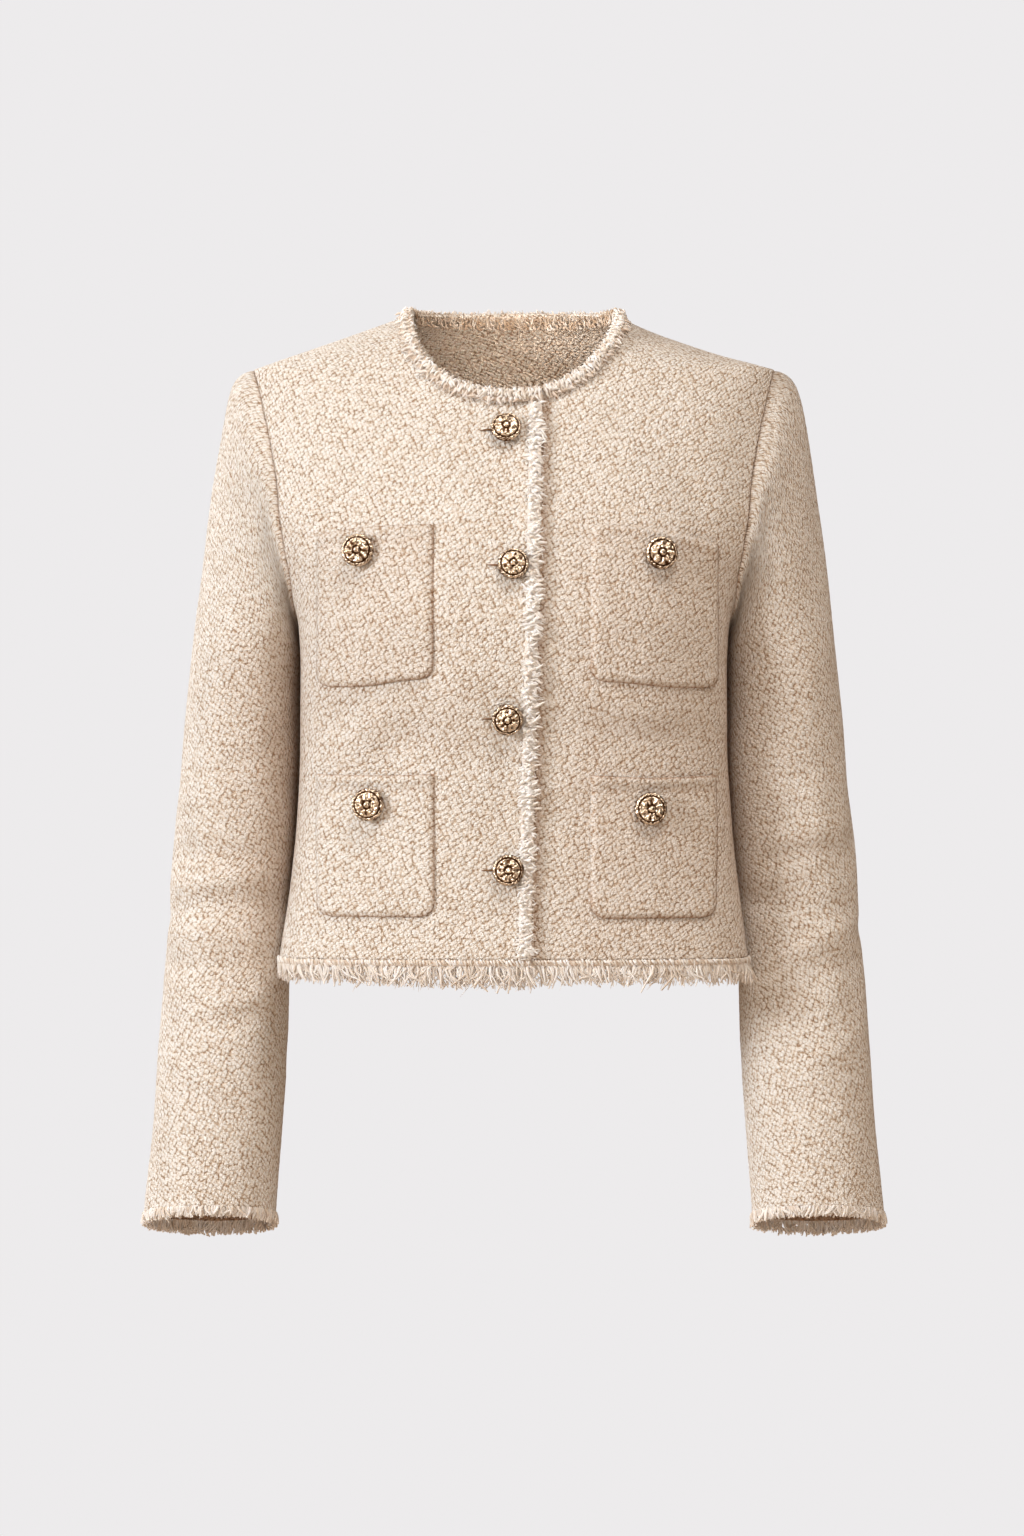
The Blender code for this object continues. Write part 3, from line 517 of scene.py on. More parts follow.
class Wiring:  # short ways to add and join nodes
    def __init__(self, tree):
        self.tree = tree

    def add(self, kind, **settings):
        node = self.tree.nodes.new(kind)
        for key, value in settings.items():
            setattr(node, key, value)
        return node

    def feed(self, socket, value):
        if isinstance(value, bpy.types.NodeSocket):
            self.tree.links.new(value, socket)
        else:
            socket.default_value = value

    def fed(self, kind, values, **settings):  # a node with its first inputs fed in order
        node = self.add(kind, **settings)
        for socket, value in zip(node.inputs, values):
            self.feed(socket, value)
        return node.outputs[0]

    def maths(self, operation, *values):
        return self.fed("ShaderNodeMath", values, operation=operation)

    def vectorMaths(self, operation, *values):
        return self.fed("ShaderNodeVectorMath", values, operation=operation)

    def spread(self, value, fromLow, fromHigh, toLow, toHigh):
        return self.fed("ShaderNodeMapRange", (value, fromLow, fromHigh, toLow, toHigh))

    def attribute(self, name):
        return self.add("ShaderNodeAttribute", attribute_name=name).outputs["Fac"]

    def noise(self, vector, scale, detail=2.0, roughness=0.5, dimensions="3D", output="Fac"):
        node = self.add("ShaderNodeTexNoise", noise_dimensions=dimensions)
        self.feed(node.inputs["Vector"], vector)
        setInputs(node, {"Scale": scale, "Detail": detail, "Roughness": roughness})
        return node.outputs[output]

    def mottled(self, base, noise, amount):  # a value moved up and down by a noise
        return self.maths("MULTIPLY_ADD", self.maths("SUBTRACT", noise, 0.5), amount, base)

    def cells(self, vector, scale, randomness):
        node = self.add("ShaderNodeTexVoronoi", voronoi_dimensions="2D", feature="F1")
        for key, value in (("Vector", vector), ("Scale", scale), ("Randomness", randomness)):
            self.feed(node.inputs[key], value)
        return node.outputs

    def colours(self, factor, a, b, blend="MIX"):
        node = self.add("ShaderNodeMix", data_type="RGBA", blend_type=blend)
        self.feed(node.inputs[0], factor)
        for socket, value in ((node.inputs[6], a), (node.inputs[7], b)):
            self.feed(socket, (*value, 1) if isinstance(value, tuple) else value)
        return node.outputs[2]

    def ramp(self, factor, stops):
        node = self.add("ShaderNodeValToRGB")
        while len(node.color_ramp.elements) < len(stops):
            node.color_ramp.elements.new(0.5)
        for element, (position, colour) in zip(node.color_ramp.elements, stops):
            element.position = position
            element.color = (*colour, 1)
        self.feed(node.inputs[0], factor)
        return node.outputs[0]

    def bump(self, shader, height, strength, distance):
        node = self.add("ShaderNodeBump")
        setInputs(node, {"Strength": strength, "Distance": distance})
        self.feed(node.inputs["Height"], height)
        self.feed(shader.inputs["Normal"], node.outputs[0])


boucle = {
    "wander": 430, "bend": (0.0009, 0.0009, 0.0),  # how the nubs wander off their rows, in metres
    "acrossLean": (0.90, 0.38), "upLean": (-0.62, 0.84), "scatter": 0.55,
    "nubReach": (0.62, 0.80), "nubHeights": (0.72, 1.0), "nubRoundness": 1.1,
    "loopsToNub": 2.5, "loopEdge": (0.1, 0.75), "fibres": 1500,
    "height": {"nub": 0.85, "loops": 0.42, "fibre": 0.18}, "tone": {"nub": 0.66, "loops": 0.40},
}


def boucleWeave():
    # uneven round nubs, the smaller loops of yarn over them, and fine fibre over everything
    group = bpy.data.node_groups.new("boucleWeave", "ShaderNodeTree")
    group.interface.new_socket(name="Metres", in_out="INPUT", socket_type="NodeSocketVector")
    for key in ("Nubs", "Stretch", "Loops", "Fibre"):
        group.interface.new_socket(name=key, in_out="INPUT", socket_type="NodeSocketFloat")
    for key in ("Height", "Tone", "Dice"):
        group.interface.new_socket(name=key, in_out="OUTPUT", socket_type="NodeSocketFloat")
    w = Wiring(group)
    given = w.add("NodeGroupInput").outputs
    drift = w.noise(given["Metres"], boucle["wander"], 1, 0.5, "2D", "Color")
    centred = w.vectorMaths("SUBTRACT", drift, (0.5, 0.5, 0.5))
    bent = w.vectorMaths("MULTIPLY_ADD", centred, boucle["bend"], given["Metres"])
    parts = w.add("ShaderNodeSeparateXYZ")
    w.feed(parts.inputs[0], bent)
    across, tall = parts.outputs[0], w.maths("MULTIPLY", parts.outputs[1], given["Stretch"])
    leaned = [
        w.maths("MULTIPLY_ADD", tall, byTall, w.maths("MULTIPLY", across, byAcross))
        for byAcross, byTall in (boucle["acrossLean"], boucle["upLean"])]
    nubs = w.cells(w.fed("ShaderNodeCombineXYZ", leaned), given["Nubs"], boucle["scatter"])
    dice = w.add("ShaderNodeSeparateColor")
    w.feed(dice.inputs[0], nubs["Color"])
    flatness = w.maths("DIVIDE", nubs["Distance"], w.spread(dice.outputs[0], 0, 1, *boucle["nubReach"]))
    dome = w.maths("MAXIMUM", w.maths("SUBTRACT", 1.0, w.maths("POWER", flatness, 2.0)), 0.0)
    tallness = w.spread(dice.outputs[0], 0, 1, *boucle["nubHeights"])
    nub = w.maths("MULTIPLY", w.maths("POWER", dome, boucle["nubRoundness"]), tallness)
    loops = w.cells(bent, w.maths("MULTIPLY", given["Nubs"], boucle["loopsToNub"]), 1.0)
    curls = w.maths("MULTIPLY", w.spread(loops["Distance"], *boucle["loopEdge"], 1.0, 0.0), given["Loops"])
    fine = w.noise(given["Metres"], boucle["fibres"], 2.0, 0.6, "2D")
    fibre = w.maths("MULTIPLY", w.maths("SUBTRACT", fine, 0.5), given["Fibre"])
    high, light = boucle["height"], boucle["tone"]
    raised = w.maths("MULTIPLY_ADD", curls, high["loops"], w.maths("MULTIPLY", fibre, high["fibre"]))
    paler = w.maths("MULTIPLY_ADD", curls, light["loops"], fibre)
    end = w.add("NodeGroupOutput").inputs
    w.feed(end["Height"], w.maths("MULTIPLY_ADD", nub, high["nub"], raised))
    # Tone is light on the nubs and dark in the gaps between them: partly the yarn's own colour, partly
    # painted shade in the gaps
    w.feed(end["Tone"], w.maths("MULTIPLY_ADD", nub, light["nub"], paler))
    w.feed(end["Dice"], dice.outputs[1])
    return group


weaveGroup = boucleWeave()


def startMaterial(name):
    material = bpy.data.materials.new(name)
    material.use_nodes = True
    return material, Wiring(material.node_tree), material.node_tree.nodes["Principled BSDF"]


def tweedMaterial(name, look):
    material, w, shader = startMaterial(name)
    weave = w.add("ShaderNodeGroup", node_tree=weaveGroup)
    w.feed(weave.inputs["Metres"], w.add("ShaderNodeUVMap", uv_map="clothMetres").outputs[0])
    setInputs(weave, {key: look[key] for key in ("Nubs", "Stretch", "Loops", "Fibre")})
    place = w.add("ShaderNodeTexCoord").outputs["Object"]
    slubs = w.noise(place, look["slubScale"], 2.0, 0.6)
    colour = w.ramp(w.mottled(weave.outputs["Tone"], slubs, look["slubs"]), look["stops"])
    warm = w.spread(weave.outputs["Dice"], 0.55, 1.0, 0.0, look["warmAmount"])
    patch = w.spread(w.noise(place, look["patchScale"]), 0.3, 0.7, 0.0, look["patchAmount"])
    # the last of these multiplies in painted shade: a brown where seams, pocket edges, arms and the
    # overlapping front would shade the cloth
    for amount, key in ((warm, "warm"), (patch, "patch"), (w.attribute("paintedShade"), "paintedShade")):
        colour = w.colours(amount, colour, look[key + "Colour"], "MULTIPLY")
    w.feed(shader.inputs["Base Color"], colour)
    w.feed(shader.inputs["Roughness"], w.spread(weave.outputs["Tone"], 0, 1, 1.0, 0.85))
    setInputs(shader, {
        "Sheen Weight": look["sheen"], "Sheen Roughness": 0.45, "Sheen Tint": (1.0, 0.96, 0.92, 1),
        "Specular IOR Level": 0.12})
    w.bump(shader, weave.outputs["Height"], 1.0, look["depth"])
    return material


tweedLook = {
    "Nubs": 336.0, "Stretch": 1.04, "Loops": 0.95, "Fibre": 0.72,
    "stops": (
        (0.12, (0.39, 0.26, 0.17)), (0.36, (0.685, 0.57, 0.46)),
        (0.60, (0.88, 0.825, 0.765)), (0.86, (0.98, 0.97, 0.955))),
    "slubs": 0.12, "slubScale": 170, "warmAmount": 0.6, "warmColour": (0.97, 0.93, 0.88),
    "patchAmount": 0.3, "patchScale": 26, "patchColour": (0.96, 0.94, 0.92),
    # the brown of the painted shade
    "paintedShadeColour": (0.54, 0.36, 0.245), "sheen": 0.15, "depth": 0.0013,
}
insideLook = {
    **tweedLook, "Nubs": 300.0, "Stretch": 1.5,
    "stops": (
        (0.12, (0.34, 0.21, 0.12)), (0.36, (0.76, 0.58, 0.44)),
        (0.60, (0.96, 0.84, 0.72)), (0.86, (1.0, 0.95, 0.88))),
    "sheen": 0.1, "depth": 0.0028,
}
tweeds = tweedMaterial("tweed", tweedLook), tweedMaterial("tweedInside", insideLook)


# painted shade: the root attribute darkens each tuft at its root and wherever it lies in shade
def yarnMaterial(name, look):  # root is 1 where a tuft starts or lies in shade
    material, w, shader = startMaterial(name)
    place = w.add("ShaderNodeTexCoord").outputs["Object"]
    fine, broad = w.noise(place, 1400, 2.0, 0.6), w.noise(place, 240)
    colour = w.ramp(w.mottled(w.mottled(w.attribute("strand"), broad, 0.5), fine, 0.5), look["stops"])
    shaded = w.maths("MULTIPLY", w.attribute("root"), look["rootShadeAmount"])
    w.feed(shader.inputs["Base Color"], w.colours(shaded, colour, look["rootShadeColour"], "MULTIPLY"))
    w.feed(shader.inputs["Roughness"], w.spread(fine, 0.3, 0.7, 0.98, 0.80))
    setInputs(shader, {
        "Sheen Weight": look["sheen"], "Sheen Roughness": 0.5, "Specular IOR Level": 0.15,
        "Subsurface Weight": look["soft"], "Subsurface Radius": (1.0, 0.8, 0.62), "Subsurface Scale": 0.002})
    w.bump(shader, w.maths("MULTIPLY_ADD", broad, 3.0, fine), 0.8, 0.0003)
    return material


yarnLook = {
    "stops": (
        (0.0, (0.53, 0.40, 0.30)), (0.3, (0.78, 0.69, 0.60)),
        (0.65, (0.90, 0.85, 0.80)), (1.0, (0.965, 0.945, 0.925))),
    "rootShadeAmount": 0.95, "rootShadeColour": (0.57, 0.40, 0.27), "sheen": 0.15, "soft": 0.2,
}
# a shaded copy of the yarn: painted shade for the back neck's tufts, which lie in shadow inside the neck
neckBackShadedLook = {
    **yarnLook, "rootShadeColour": (0.60, 0.48, 0.37),
    "stops": (
        (0.0, (0.40, 0.31, 0.24)), (0.3, (0.62, 0.53, 0.45)),
        (0.65, (0.78, 0.71, 0.64)), (1.0, (0.90, 0.85, 0.80))),
}
placketLook = {
    **yarnLook, "rootShadeAmount": 0.40,
    "stops": (
        (0.0, (0.74, 0.63, 0.52)), (0.3, (0.90, 0.84, 0.78)),
        (0.65, (0.96, 0.93, 0.90)), (1.0, (0.985, 0.97, 0.955))),
}
# painted shade: the dark brown of the buttonhole slits
slitShadeLook = {
    "stops": ((0.0, (0.14, 0.07, 0.035)), (0.5, (0.22, 0.12, 0.06)), (1.0, (0.32, 0.19, 0.11))),
    "rootShadeAmount": 0.5, "rootShadeColour": (0.5, 0.4, 0.3), "sheen": 0.0, "soft": 0.0,
}
yarn = yarnMaterial("frayedYarn", yarnLook)
neckBackShadedYarn = yarnMaterial("neckBackShadedYarn", neckBackShadedLook)
placketYarn = yarnMaterial("placketYarn", placketLook)
slitShade = yarnMaterial("slitShade", slitShadeLook)


def goldMaterial(look):  # hollow is 1 in the lowest places of the relief
    material, w, shader = startMaterial("antiqueGold")
    place = w.add("ShaderNodeTexCoord").outputs["Object"]
    wear = w.noise(place, 420, 3.0, 0.6)
    patina = w.spread(w.mottled(w.attribute("hollow"), wear, 0.35), *look["patinaFrom"], 0.0, 1.0)
    dull = w.spread(w.maths("MULTIPLY_ADD", wear, 0.2, patina), 0, 1.2, look["smooth"], look["rough"])
    w.feed(shader.inputs["Base Color"], w.colours(patina, look["bright"], look["patina"]))
    w.feed(shader.inputs["Roughness"], dull)
    setInputs(shader, {"Metallic": 1.0})
    w.bump(shader, w.noise(place, 1300), 0.25, 0.0001)
    return material


goldLook = {
    "bright": (0.80, 0.65, 0.50), "patina": (0.10, 0.045, 0.02), "patinaFrom": (0.24, 0.54),
    "smooth": 0.20, "rough": 0.55,
}
gold = goldMaterial(goldLook)
print("materials made")


# fronts and back

panel = {
    "rowsBelow": 11, "rowsToNeck": 7, "rowsRoundNeck": 6,
    "lengths": (0.2325, 0.160, 0.115), "frontWidth": 0.225, "backWidth": 0.235,
    "frontCell": 0.00185, "backCell": 0.00200,
    "seamShade": 0.5, "topGap": 0.003,
    "sway": 0.0009, "swaySize": (0.045, 0.055), "stiffSeam": 0.020, "stiffHem": 0.016,
}
panel["knee"] = panel["rowsBelow"] + panel["rowsToNeck"]
panel["last"] = panel["knee"] + panel["rowsRoundNeck"]

# x, height, slope in degrees, half length, half width, height of the relief
frontCreases = (
    (-0.105, -0.281, 34, 0.052, 0.0120, 0.0022),
    (-0.083, -0.300, 38, 0.048, 0.0150, -0.0022),
    (-0.120, -0.262, 20, 0.030, 0.0100, -0.0014),
    (-0.030, -0.300, -8, 0.040, 0.0150, -0.0012),
    (-0.025, -0.240, 12, 0.045, 0.0180, 0.0010),
    (0.095, -0.284, -14, 0.046, 0.0130, -0.0022),
    (0.082, -0.262, -10, 0.050, 0.0110, 0.0014),
    (0.128, -0.262, -42, 0.030, 0.0090, 0.0016),
    (0.040, -0.318, 8, 0.040, 0.0140, 0.0010),
    (-0.118, -0.110, 62, 0.050, 0.0130, -0.0016),
    (0.120, -0.108, -64, 0.050, 0.0140, -0.0018),
    (-0.070, -0.075, 28, 0.045, 0.0160, 0.0010),
    (0.068, -0.085, -30, 0.050, 0.0170, 0.0012),
    (-0.135, -0.345, 70, 0.050, 0.0090, 0.0012),
    (0.140, -0.350, -72, 0.050, 0.0090, 0.0014),
    (0.006, -0.410, 3, 0.060, 0.0120, -0.0008),
)
backCreases = (
    (-0.090, -0.285, -24, 0.060, 0.0120, 0.00352),
    (-0.070, -0.308, -20, 0.055, 0.0140, -0.00320),
    (0.092, -0.280, 26, 0.058, 0.0120, 0.00352),
    (0.075, -0.303, 22, 0.055, 0.0140, -0.00320),
    (0.010, -0.262, 4, 0.070, 0.0150, -0.00192),
    (-0.005, -0.322, -3, 0.080, 0.0150, 0.00192),
    (-0.125, -0.120, -66, 0.060, 0.0130, -0.00320),
    (0.127, -0.118, 66, 0.060, 0.0130, -0.00320),
    (0.0, -0.020, 0, 0.050, 0.0130, -0.00160),
    (-0.050, -0.070, -32, 0.050, 0.0160, 0.00192),
    (0.052, -0.072, 32, 0.050, 0.0160, 0.00192),
    (-0.130, -0.380, -78, 0.050, 0.0100, 0.00192),
    (0.128, -0.385, 76, 0.050, 0.0100, 0.00192),
)


def panelLines(side, edge, neck, outerTurn, rowsAt):
    # the inner line runs up the edge and round the neck, the outer one up the side and the armhole
    below, knee, last = panel["rowsBelow"], panel["knee"], panel["last"]
    lowShare = (cut["underarm"] - cut["hem"]) / (edge(1)[1] - cut["hem"])
    toNeck = mix(lowShare, 1, (rowsAt - below) / panel["rowsToNeck"])
    share = np.where(rowsAt < below, lowShare * rowsAt / below, toNeck)
    inner, outer = np.zeros((2, 2, len(rowsAt)))
    low, high = rowsAt <= knee, rowsAt > knee
    inner[:, low] = edge(share[low])
    inner[:, high] = evenly(side, neck, (rowsAt[high] - knee) / (last - knee))
    low, high = rowsAt < below, rowsAt >= below
    outer[0, low], outer[1, low] = pi / 2, mix(cut["hem"], cut["underarm"], rowsAt[low] / below)
    roundArmhole = (rowsAt[high] - below) / (last - below)
    outer[:, high] = evenly(side, lambda s: armhole(side, outerTurn(s)), roundArmhole)
    return inner, outer


def panelRows(cell):
    ends = (0, panel["rowsBelow"], panel["knee"], panel["last"] - panel["topGap"])
    stretches = zip(ends, ends[1:], panel["lengths"])
    rows = [np.linspace(low, high, segments(length, cell) + 1)[1:] for low, high, length in stretches]
    return np.concatenate([[0.0], *rows])


def panelPlaces(side, edge, neck, outerTurn, rowsAt, shares):
    inner, outer = panelLines(side, edge, neck, outerTurn, rowsAt)
    a, b = bodyPoint(side, *inner), bodyPoint(side, *outer)
    reach = 1 - cut["seamGap"] / 2 / np.maximum(np.linalg.norm(b - a, axis=1), 0.01)
    s = shares[None, :] * reach[:, None]
    angle = mix(inner[0][:, None], outer[0][:, None], s)
    return angle, mix(inner[1][:, None], outer[1][:, None], s)


def dressPanel(point, normal, weave, creases, seed, shade=0):
    # the columns run from the middle of the body to the sewn side, the rows from the hem up
    u, v = weave
    toSide = running(gaps(point, 1)[:, ::-1], 1)[:, ::-1]
    toShoulder = running(gaps(point)[::-1])[::-1]
    fromSeam = np.minimum(toSide, toShoulder)
    sewn = bell(fromSeam, 0, cloth["seamWidth"])
    loose = smooth(0, panel["stiffSeam"], fromSeam) * smooth(0, panel["stiffHem"], v)
    soft = creaseRelief(point[..., 0], point[..., 2], creases) * loose
    swayAcross, swayUp = panel["swaySize"]
    soft += panel["sway"] * loose * softNoise(u / swayAcross, v / swayUp, seed)
    relief = nubRelief(u, v) * (1 - sewn) + soft - cloth["seamDip"] * sewn
    # painted shade: darker along the sewn seams, plus any shade given for the panel
    paintedShade = np.clip(panel["seamShade"] * sewn**2 + shade, 0, 1)
    outer, inner = point + normal * relief[..., None], point + normal * (soft - cut["wall"])[..., None]
    return outer, thinned(inner), weave, paintedShade, thinned(paintedShade)


# painted shade where the arms and the overlapping edge shade the fronts, and where the fronts turn away from
# the light below the chest: amounts, then where each starts and is full
frontShade = {
    "flank": 0.75, "flankFrom": (1.05, 1.50),
    "flankBelow": (-0.195, -0.225), "flankAbove": (-0.435, -0.36),
    "wide": {right: 0.06, left: 0.15}, "wideFrom": (0.10, 0.45), "wideBelow": (-0.100, -0.170),
    "rightAbove": (-0.33, -0.27),
    "edge": 0.50, "edgeStart": 0.0028, "edgeWidth": 0.0034, "edgeBelow": -0.044,
}


def shadeOnFront(side, x, angle, height):
    look = frontShade
    flank = smooth(*look["flankFrom"], angle) * smooth(*look["flankBelow"], height)
    shade = look["flank"] * flank * smooth(*look["flankAbove"], height)
    wide = look["wide"][side] * smooth(*look["wideFrom"], angle) * smooth(*look["wideBelow"], height)
    if side == right:
        return shade + wide * smooth(*look["rightAbove"], height)
    # painted shadow: the left front is also darker beside the edge that lies over it
    edgeShare = (height - cut["hem"]) / (neckFrontHeight(right, cut["edgeAtNeck"]) - cut["hem"])
    beside = np.maximum(x - frontEdgeX(right, edgeShare) - look["edgeStart"], 0)
    dark = bell(beside, 0, look["edgeWidth"]) * (height < look["edgeBelow"])
    return shade + wide + look["edge"] * dark


def frontPanel(side, name, seed):
    rowsAt = panelRows(panel["frontCell"])
    shares = np.linspace(0, 1, segments(panel["frontWidth"], panel["frontCell"]) + 1)
    edge, neck = lambda s: frontEdge(side, s), lambda s: neckFront(side, s)
    angle, height = panelPlaces(side, edge, neck, lambda s: 0.5 - s / 2, rowsAt, shares)
    point, normal = frontWithNormal(side, angle, height)
    shade = shadeOnFront(side, point[..., 0], angle, height)
    weave = alongGrain(side, angle, height)
    return clothPiece(name, [dressPanel(point, normal, weave, frontCreases, seed, shade)])


def backPanel(name, seed):
    rowsAt = panelRows(panel["backCell"])
    shares = np.linspace(0, 1, segments(panel["backWidth"], panel["backCell"]) + 1)
    patches = []
    for side in (left, right):
        angle, height = panelPlaces(side, centreBack, neckBack, lambda s: 0.5 + s / 2, rowsAt, shares)
        point, normal = bodyWithNormal(side, angle, height)
        if patches:  # the halves share their middle line up to the neck
            knee = int(np.searchsorted(rowsAt, panel["knee"] + 1e-6))
            point[:knee, 0], normal[:knee, 0] = middle[0][:knee], middle[1][:knee]
        else:
            normal[:, 0, 0] = 0
            normal[:, 0] = unit(normal[:, 0])
            middle = point[:, 0], normal[:, 0]
        patches.append(dressPanel(point, normal, alongGrain(side, angle, height, True), backCreases, seed))
    return clothPiece(name, patches)


frontRight = finishPiece(frontPanel(right, "tweedFrontRight", 11), "tweed", tweeds, "front_right")
frontLeft = finishPiece(frontPanel(left, "tweedFrontLeft", 23), "tweed", tweeds, "front_left")
back = finishPiece(backPanel("tweedBack", 37), "tweed", tweeds, "back")
print("fronts and back made")


# sleeves

sleeveShape = {
    "top": -0.222, "cuff": -0.6220, "capLength": 0.205, "tubeLength": 0.400, "girth": 0.350,
    "capRoll": 0.33, "capQuickness": 0.04, "capFullness": 0.0024, "puff": 0.0080,
    "cell": 0.00200, "capPower": 1.22,
    "sway": 0.0010, "swaySize": (0.04, 0.05), "stiffCap": 0.02, "stiffLine": 0.03,
    "waveLength": 15, "waveStart": 60,
    "lineWidth": 0.0016, "lineDip": 0.0006, "seamShade": 0.45, "lineShade": 0.3,
    "cuffShade": 0.9, "cuffShadeEnd": (0.030, 0.004),
}
sleeveTable = smoothTable((
    # height, inner x, outer x, middle y, half depth, squareness, tilt towards the front
    (-0.660, 0.1710, 0.2660, -0.0430, 0.0415, 2.1, 0.22),
    (-0.620, 0.1695, 0.2630, -0.0370, 0.0415, 2.1, 0.22),
    (-0.560, 0.1655, 0.2578, -0.0270, 0.0435, 2.1, 0.16),
    (-0.500, 0.1620, 0.2538, -0.0170, 0.0465, 2.1, 0.09),
    (-0.446, 0.1612, 0.2508, -0.0070, 0.0490, 2.15, 0.03),
    (-0.390, 0.1590, 0.2470, 0.0000, 0.0520, 2.2, 0.00),
    (-0.340, 0.1555, 0.2425, 0.0040, 0.0550, 2.25, 0.00),
    (-0.280, 0.1532, 0.2372, 0.0060, 0.0580, 2.3, 0.00),
    (-0.222, 0.1532, 0.2308, 0.0030, 0.0610, 2.3, 0.00),
))
elbowFolds = (
    # height at the front, turn round the sleeve, half length in turns, fall per turn, half width, depth
    (-0.366, 0.20, 0.16, 0.030, 0.0095, 0.0026),
    (-0.402, 0.26, 0.20, -0.020, 0.0105, 0.0032),
    (-0.446, 0.17, 0.17, 0.025, 0.0100, 0.0026),
    (-0.486, 0.28, 0.15, -0.030, 0.0090, 0.0020),
)
# turn, height, slope in metres per turn, half length in turns, half width, height of the relief
sleeveCreases = {
    right: (
        (0.20, -0.384, 0.030, 0.20, 0.0070, 0.0018),
        (0.24, -0.424, -0.020, 0.20, 0.0080, 0.0016),
        (0.30, -0.470, 0.050, 0.16, 0.0080, 0.0014),
        (0.18, -0.520, -0.110, 0.14, 0.0090, 0.0014),
        (0.28, -0.548, -0.140, 0.13, 0.0085, -0.0014),
        (0.15, -0.330, 0.090, 0.16, 0.0110, 0.0012),
        (0.30, -0.290, 0.160, 0.14, 0.0100, -0.0012),
        (0.75, -0.400, 0.040, 0.20, 0.0100, -0.0020),
        (0.72, -0.440, -0.060, 0.20, 0.0100, 0.0018),
        (0.80, -0.330, 0.120, 0.18, 0.0110, -0.0014),
        (0.62, -0.500, 0.100, 0.16, 0.0100, -0.0014),
        (0.04, -0.410, 0.020, 0.10, 0.0090, -0.0012),
        (0.22, -0.110, 0.220, 0.10, 0.0110, -0.0014),
        (0.78, -0.105, -0.220, 0.10, 0.0110, -0.0014),
    ),
    left: (
        (0.22, -0.352, -0.110, 0.20, 0.0090, 0.0018),
        (0.24, -0.384, -0.120, 0.20, 0.0090, -0.0018),
        (0.20, -0.426, -0.100, 0.19, 0.0090, 0.0018),
        (0.27, -0.462, -0.130, 0.17, 0.0090, -0.0014),
        (0.20, -0.505, -0.110, 0.17, 0.0090, 0.0014),
        (0.28, -0.545, -0.100, 0.14, 0.0085, -0.0012),
        (0.18, -0.300, -0.090, 0.15, 0.0110, -0.0012),
        (0.76, -0.395, 0.060, 0.20, 0.0100, -0.0020),
        (0.71, -0.436, -0.040, 0.20, 0.0100, 0.0018),
        (0.80, -0.340, 0.110, 0.18, 0.0110, -0.0014),
        (0.64, -0.505, 0.080, 0.16, 0.0100, -0.0014),
        (0.02, -0.420, 0.030, 0.10, 0.0090, -0.0012),
        (0.22, -0.112, 0.220, 0.10, 0.0110, -0.0014),
        (0.78, -0.108, -0.220, 0.10, 0.0110, -0.0014),
    ),
}


def tubePoint(side, turn, height):
    inner, outer, middleY, halfDepth, squareness, tilt = np.moveaxis(sleeveTable(height), -1, 0)
    angle = turn * 2 * pi
    folds = 0
    for atHeight, atTurn, halfLength, fall, halfWidth, deepest in elbowFolds:
        off = (turn - atTurn + 0.5) % 1 - 0.5
        across = bell(height + fall * off, atHeight, halfWidth)
        folds = folds + deepest * np.maximum(1 - (off / halfLength) ** 2, 0) * across
    radius = roundedRadius(angle, halfDepth, (outer - inner) / 2, squareness) - folds
    forward = radius * np.sin(angle)
    x = (inner + outer) / 2 + radius * np.cos(angle)
    return np.stack([side * x, middleY - forward, height + tilt * forward], -1)


def armholeSeam(side, turn):
    rounds = turn[:1] if turn.ndim == 2 else turn  # every row of a grid has the same turns
    point, normal = bodyWithNormal(side, *armhole(side, rounds % 1))
    point[..., 0] += side * cut["seamGap"]
    return point, normal


def capPoint(side, turn, share):
    seam, normal = armholeSeam(side, turn)
    end = tubePoint(side, turn, sleeveShape["top"] + 0 * turn)
    around = np.cos(turn * 2 * pi)
    roll = sleeveShape["capRoll"] * (0.5 + 0.5 * around)
    q = sleeveShape["capQuickness"]
    fast = 1 - np.exp(-share / q)
    sideways = mix(share, fast, roll)[..., None]
    down = np.minimum(mix(share, (share - q * fast) / (1 - q), 2 * roll), 1)[..., None]
    point = mix(seam, end, sideways)
    point = np.concatenate([point[..., :2], mix(seam[..., 2:], end[..., 2:], down)], -1)
    beside = (0.5 - 0.5 * around) * np.sin(turn * 2 * pi) ** 2
    point = point + normal * (sleeveShape["puff"] * beside * fast * (1 - share))[..., None]
    point[..., 0] += side * sleeveShape["capFullness"] * np.sin(pi * share) * np.maximum(around, 0)
    return point


def sleevePoint(side, turn, run):  # run is 0 at the armhole, 1 where the tube starts, then metres more
    turn, run = np.broadcast_arrays(turn, run)
    cap = capPoint(side, turn, np.clip(run, 0, 1))
    tube = tubePoint(side, turn, sleeveShape["top"] - np.maximum(run - 1, 0))
    return np.where((run <= 1)[..., None], cap, tube)


def sleeveWithNormal(side, turn, run):
    step = 0.004
    along = sleevePoint(side, turn + step, run) - sleevePoint(side, turn - step, run)
    down = sleevePoint(side, turn, run + step) - sleevePoint(side, turn, np.maximum(run - step, 0))
    return sleevePoint(side, turn, run), unit(np.cross(along, down)) * side


def sleeveRelief(side, turn, height):
    relief = np.zeros(turn.shape)
    for atTurn, atHeight, slope, halfLength, halfWidth, amount in sleeveCreases[side]:
        off = (turn - atTurn + 0.5) % 1 - 0.5
        wave = np.sin(off * sleeveShape["waveLength"] + atHeight * sleeveShape["waveStart"])
        across = (height - atHeight - slope * off) / halfWidth + cloth["wave"] * wave
        relief += amount * np.clip(1 - (off / halfLength) ** 2, 0, 1) ** 1.5 * bell(across, 0, 1)
    return relief


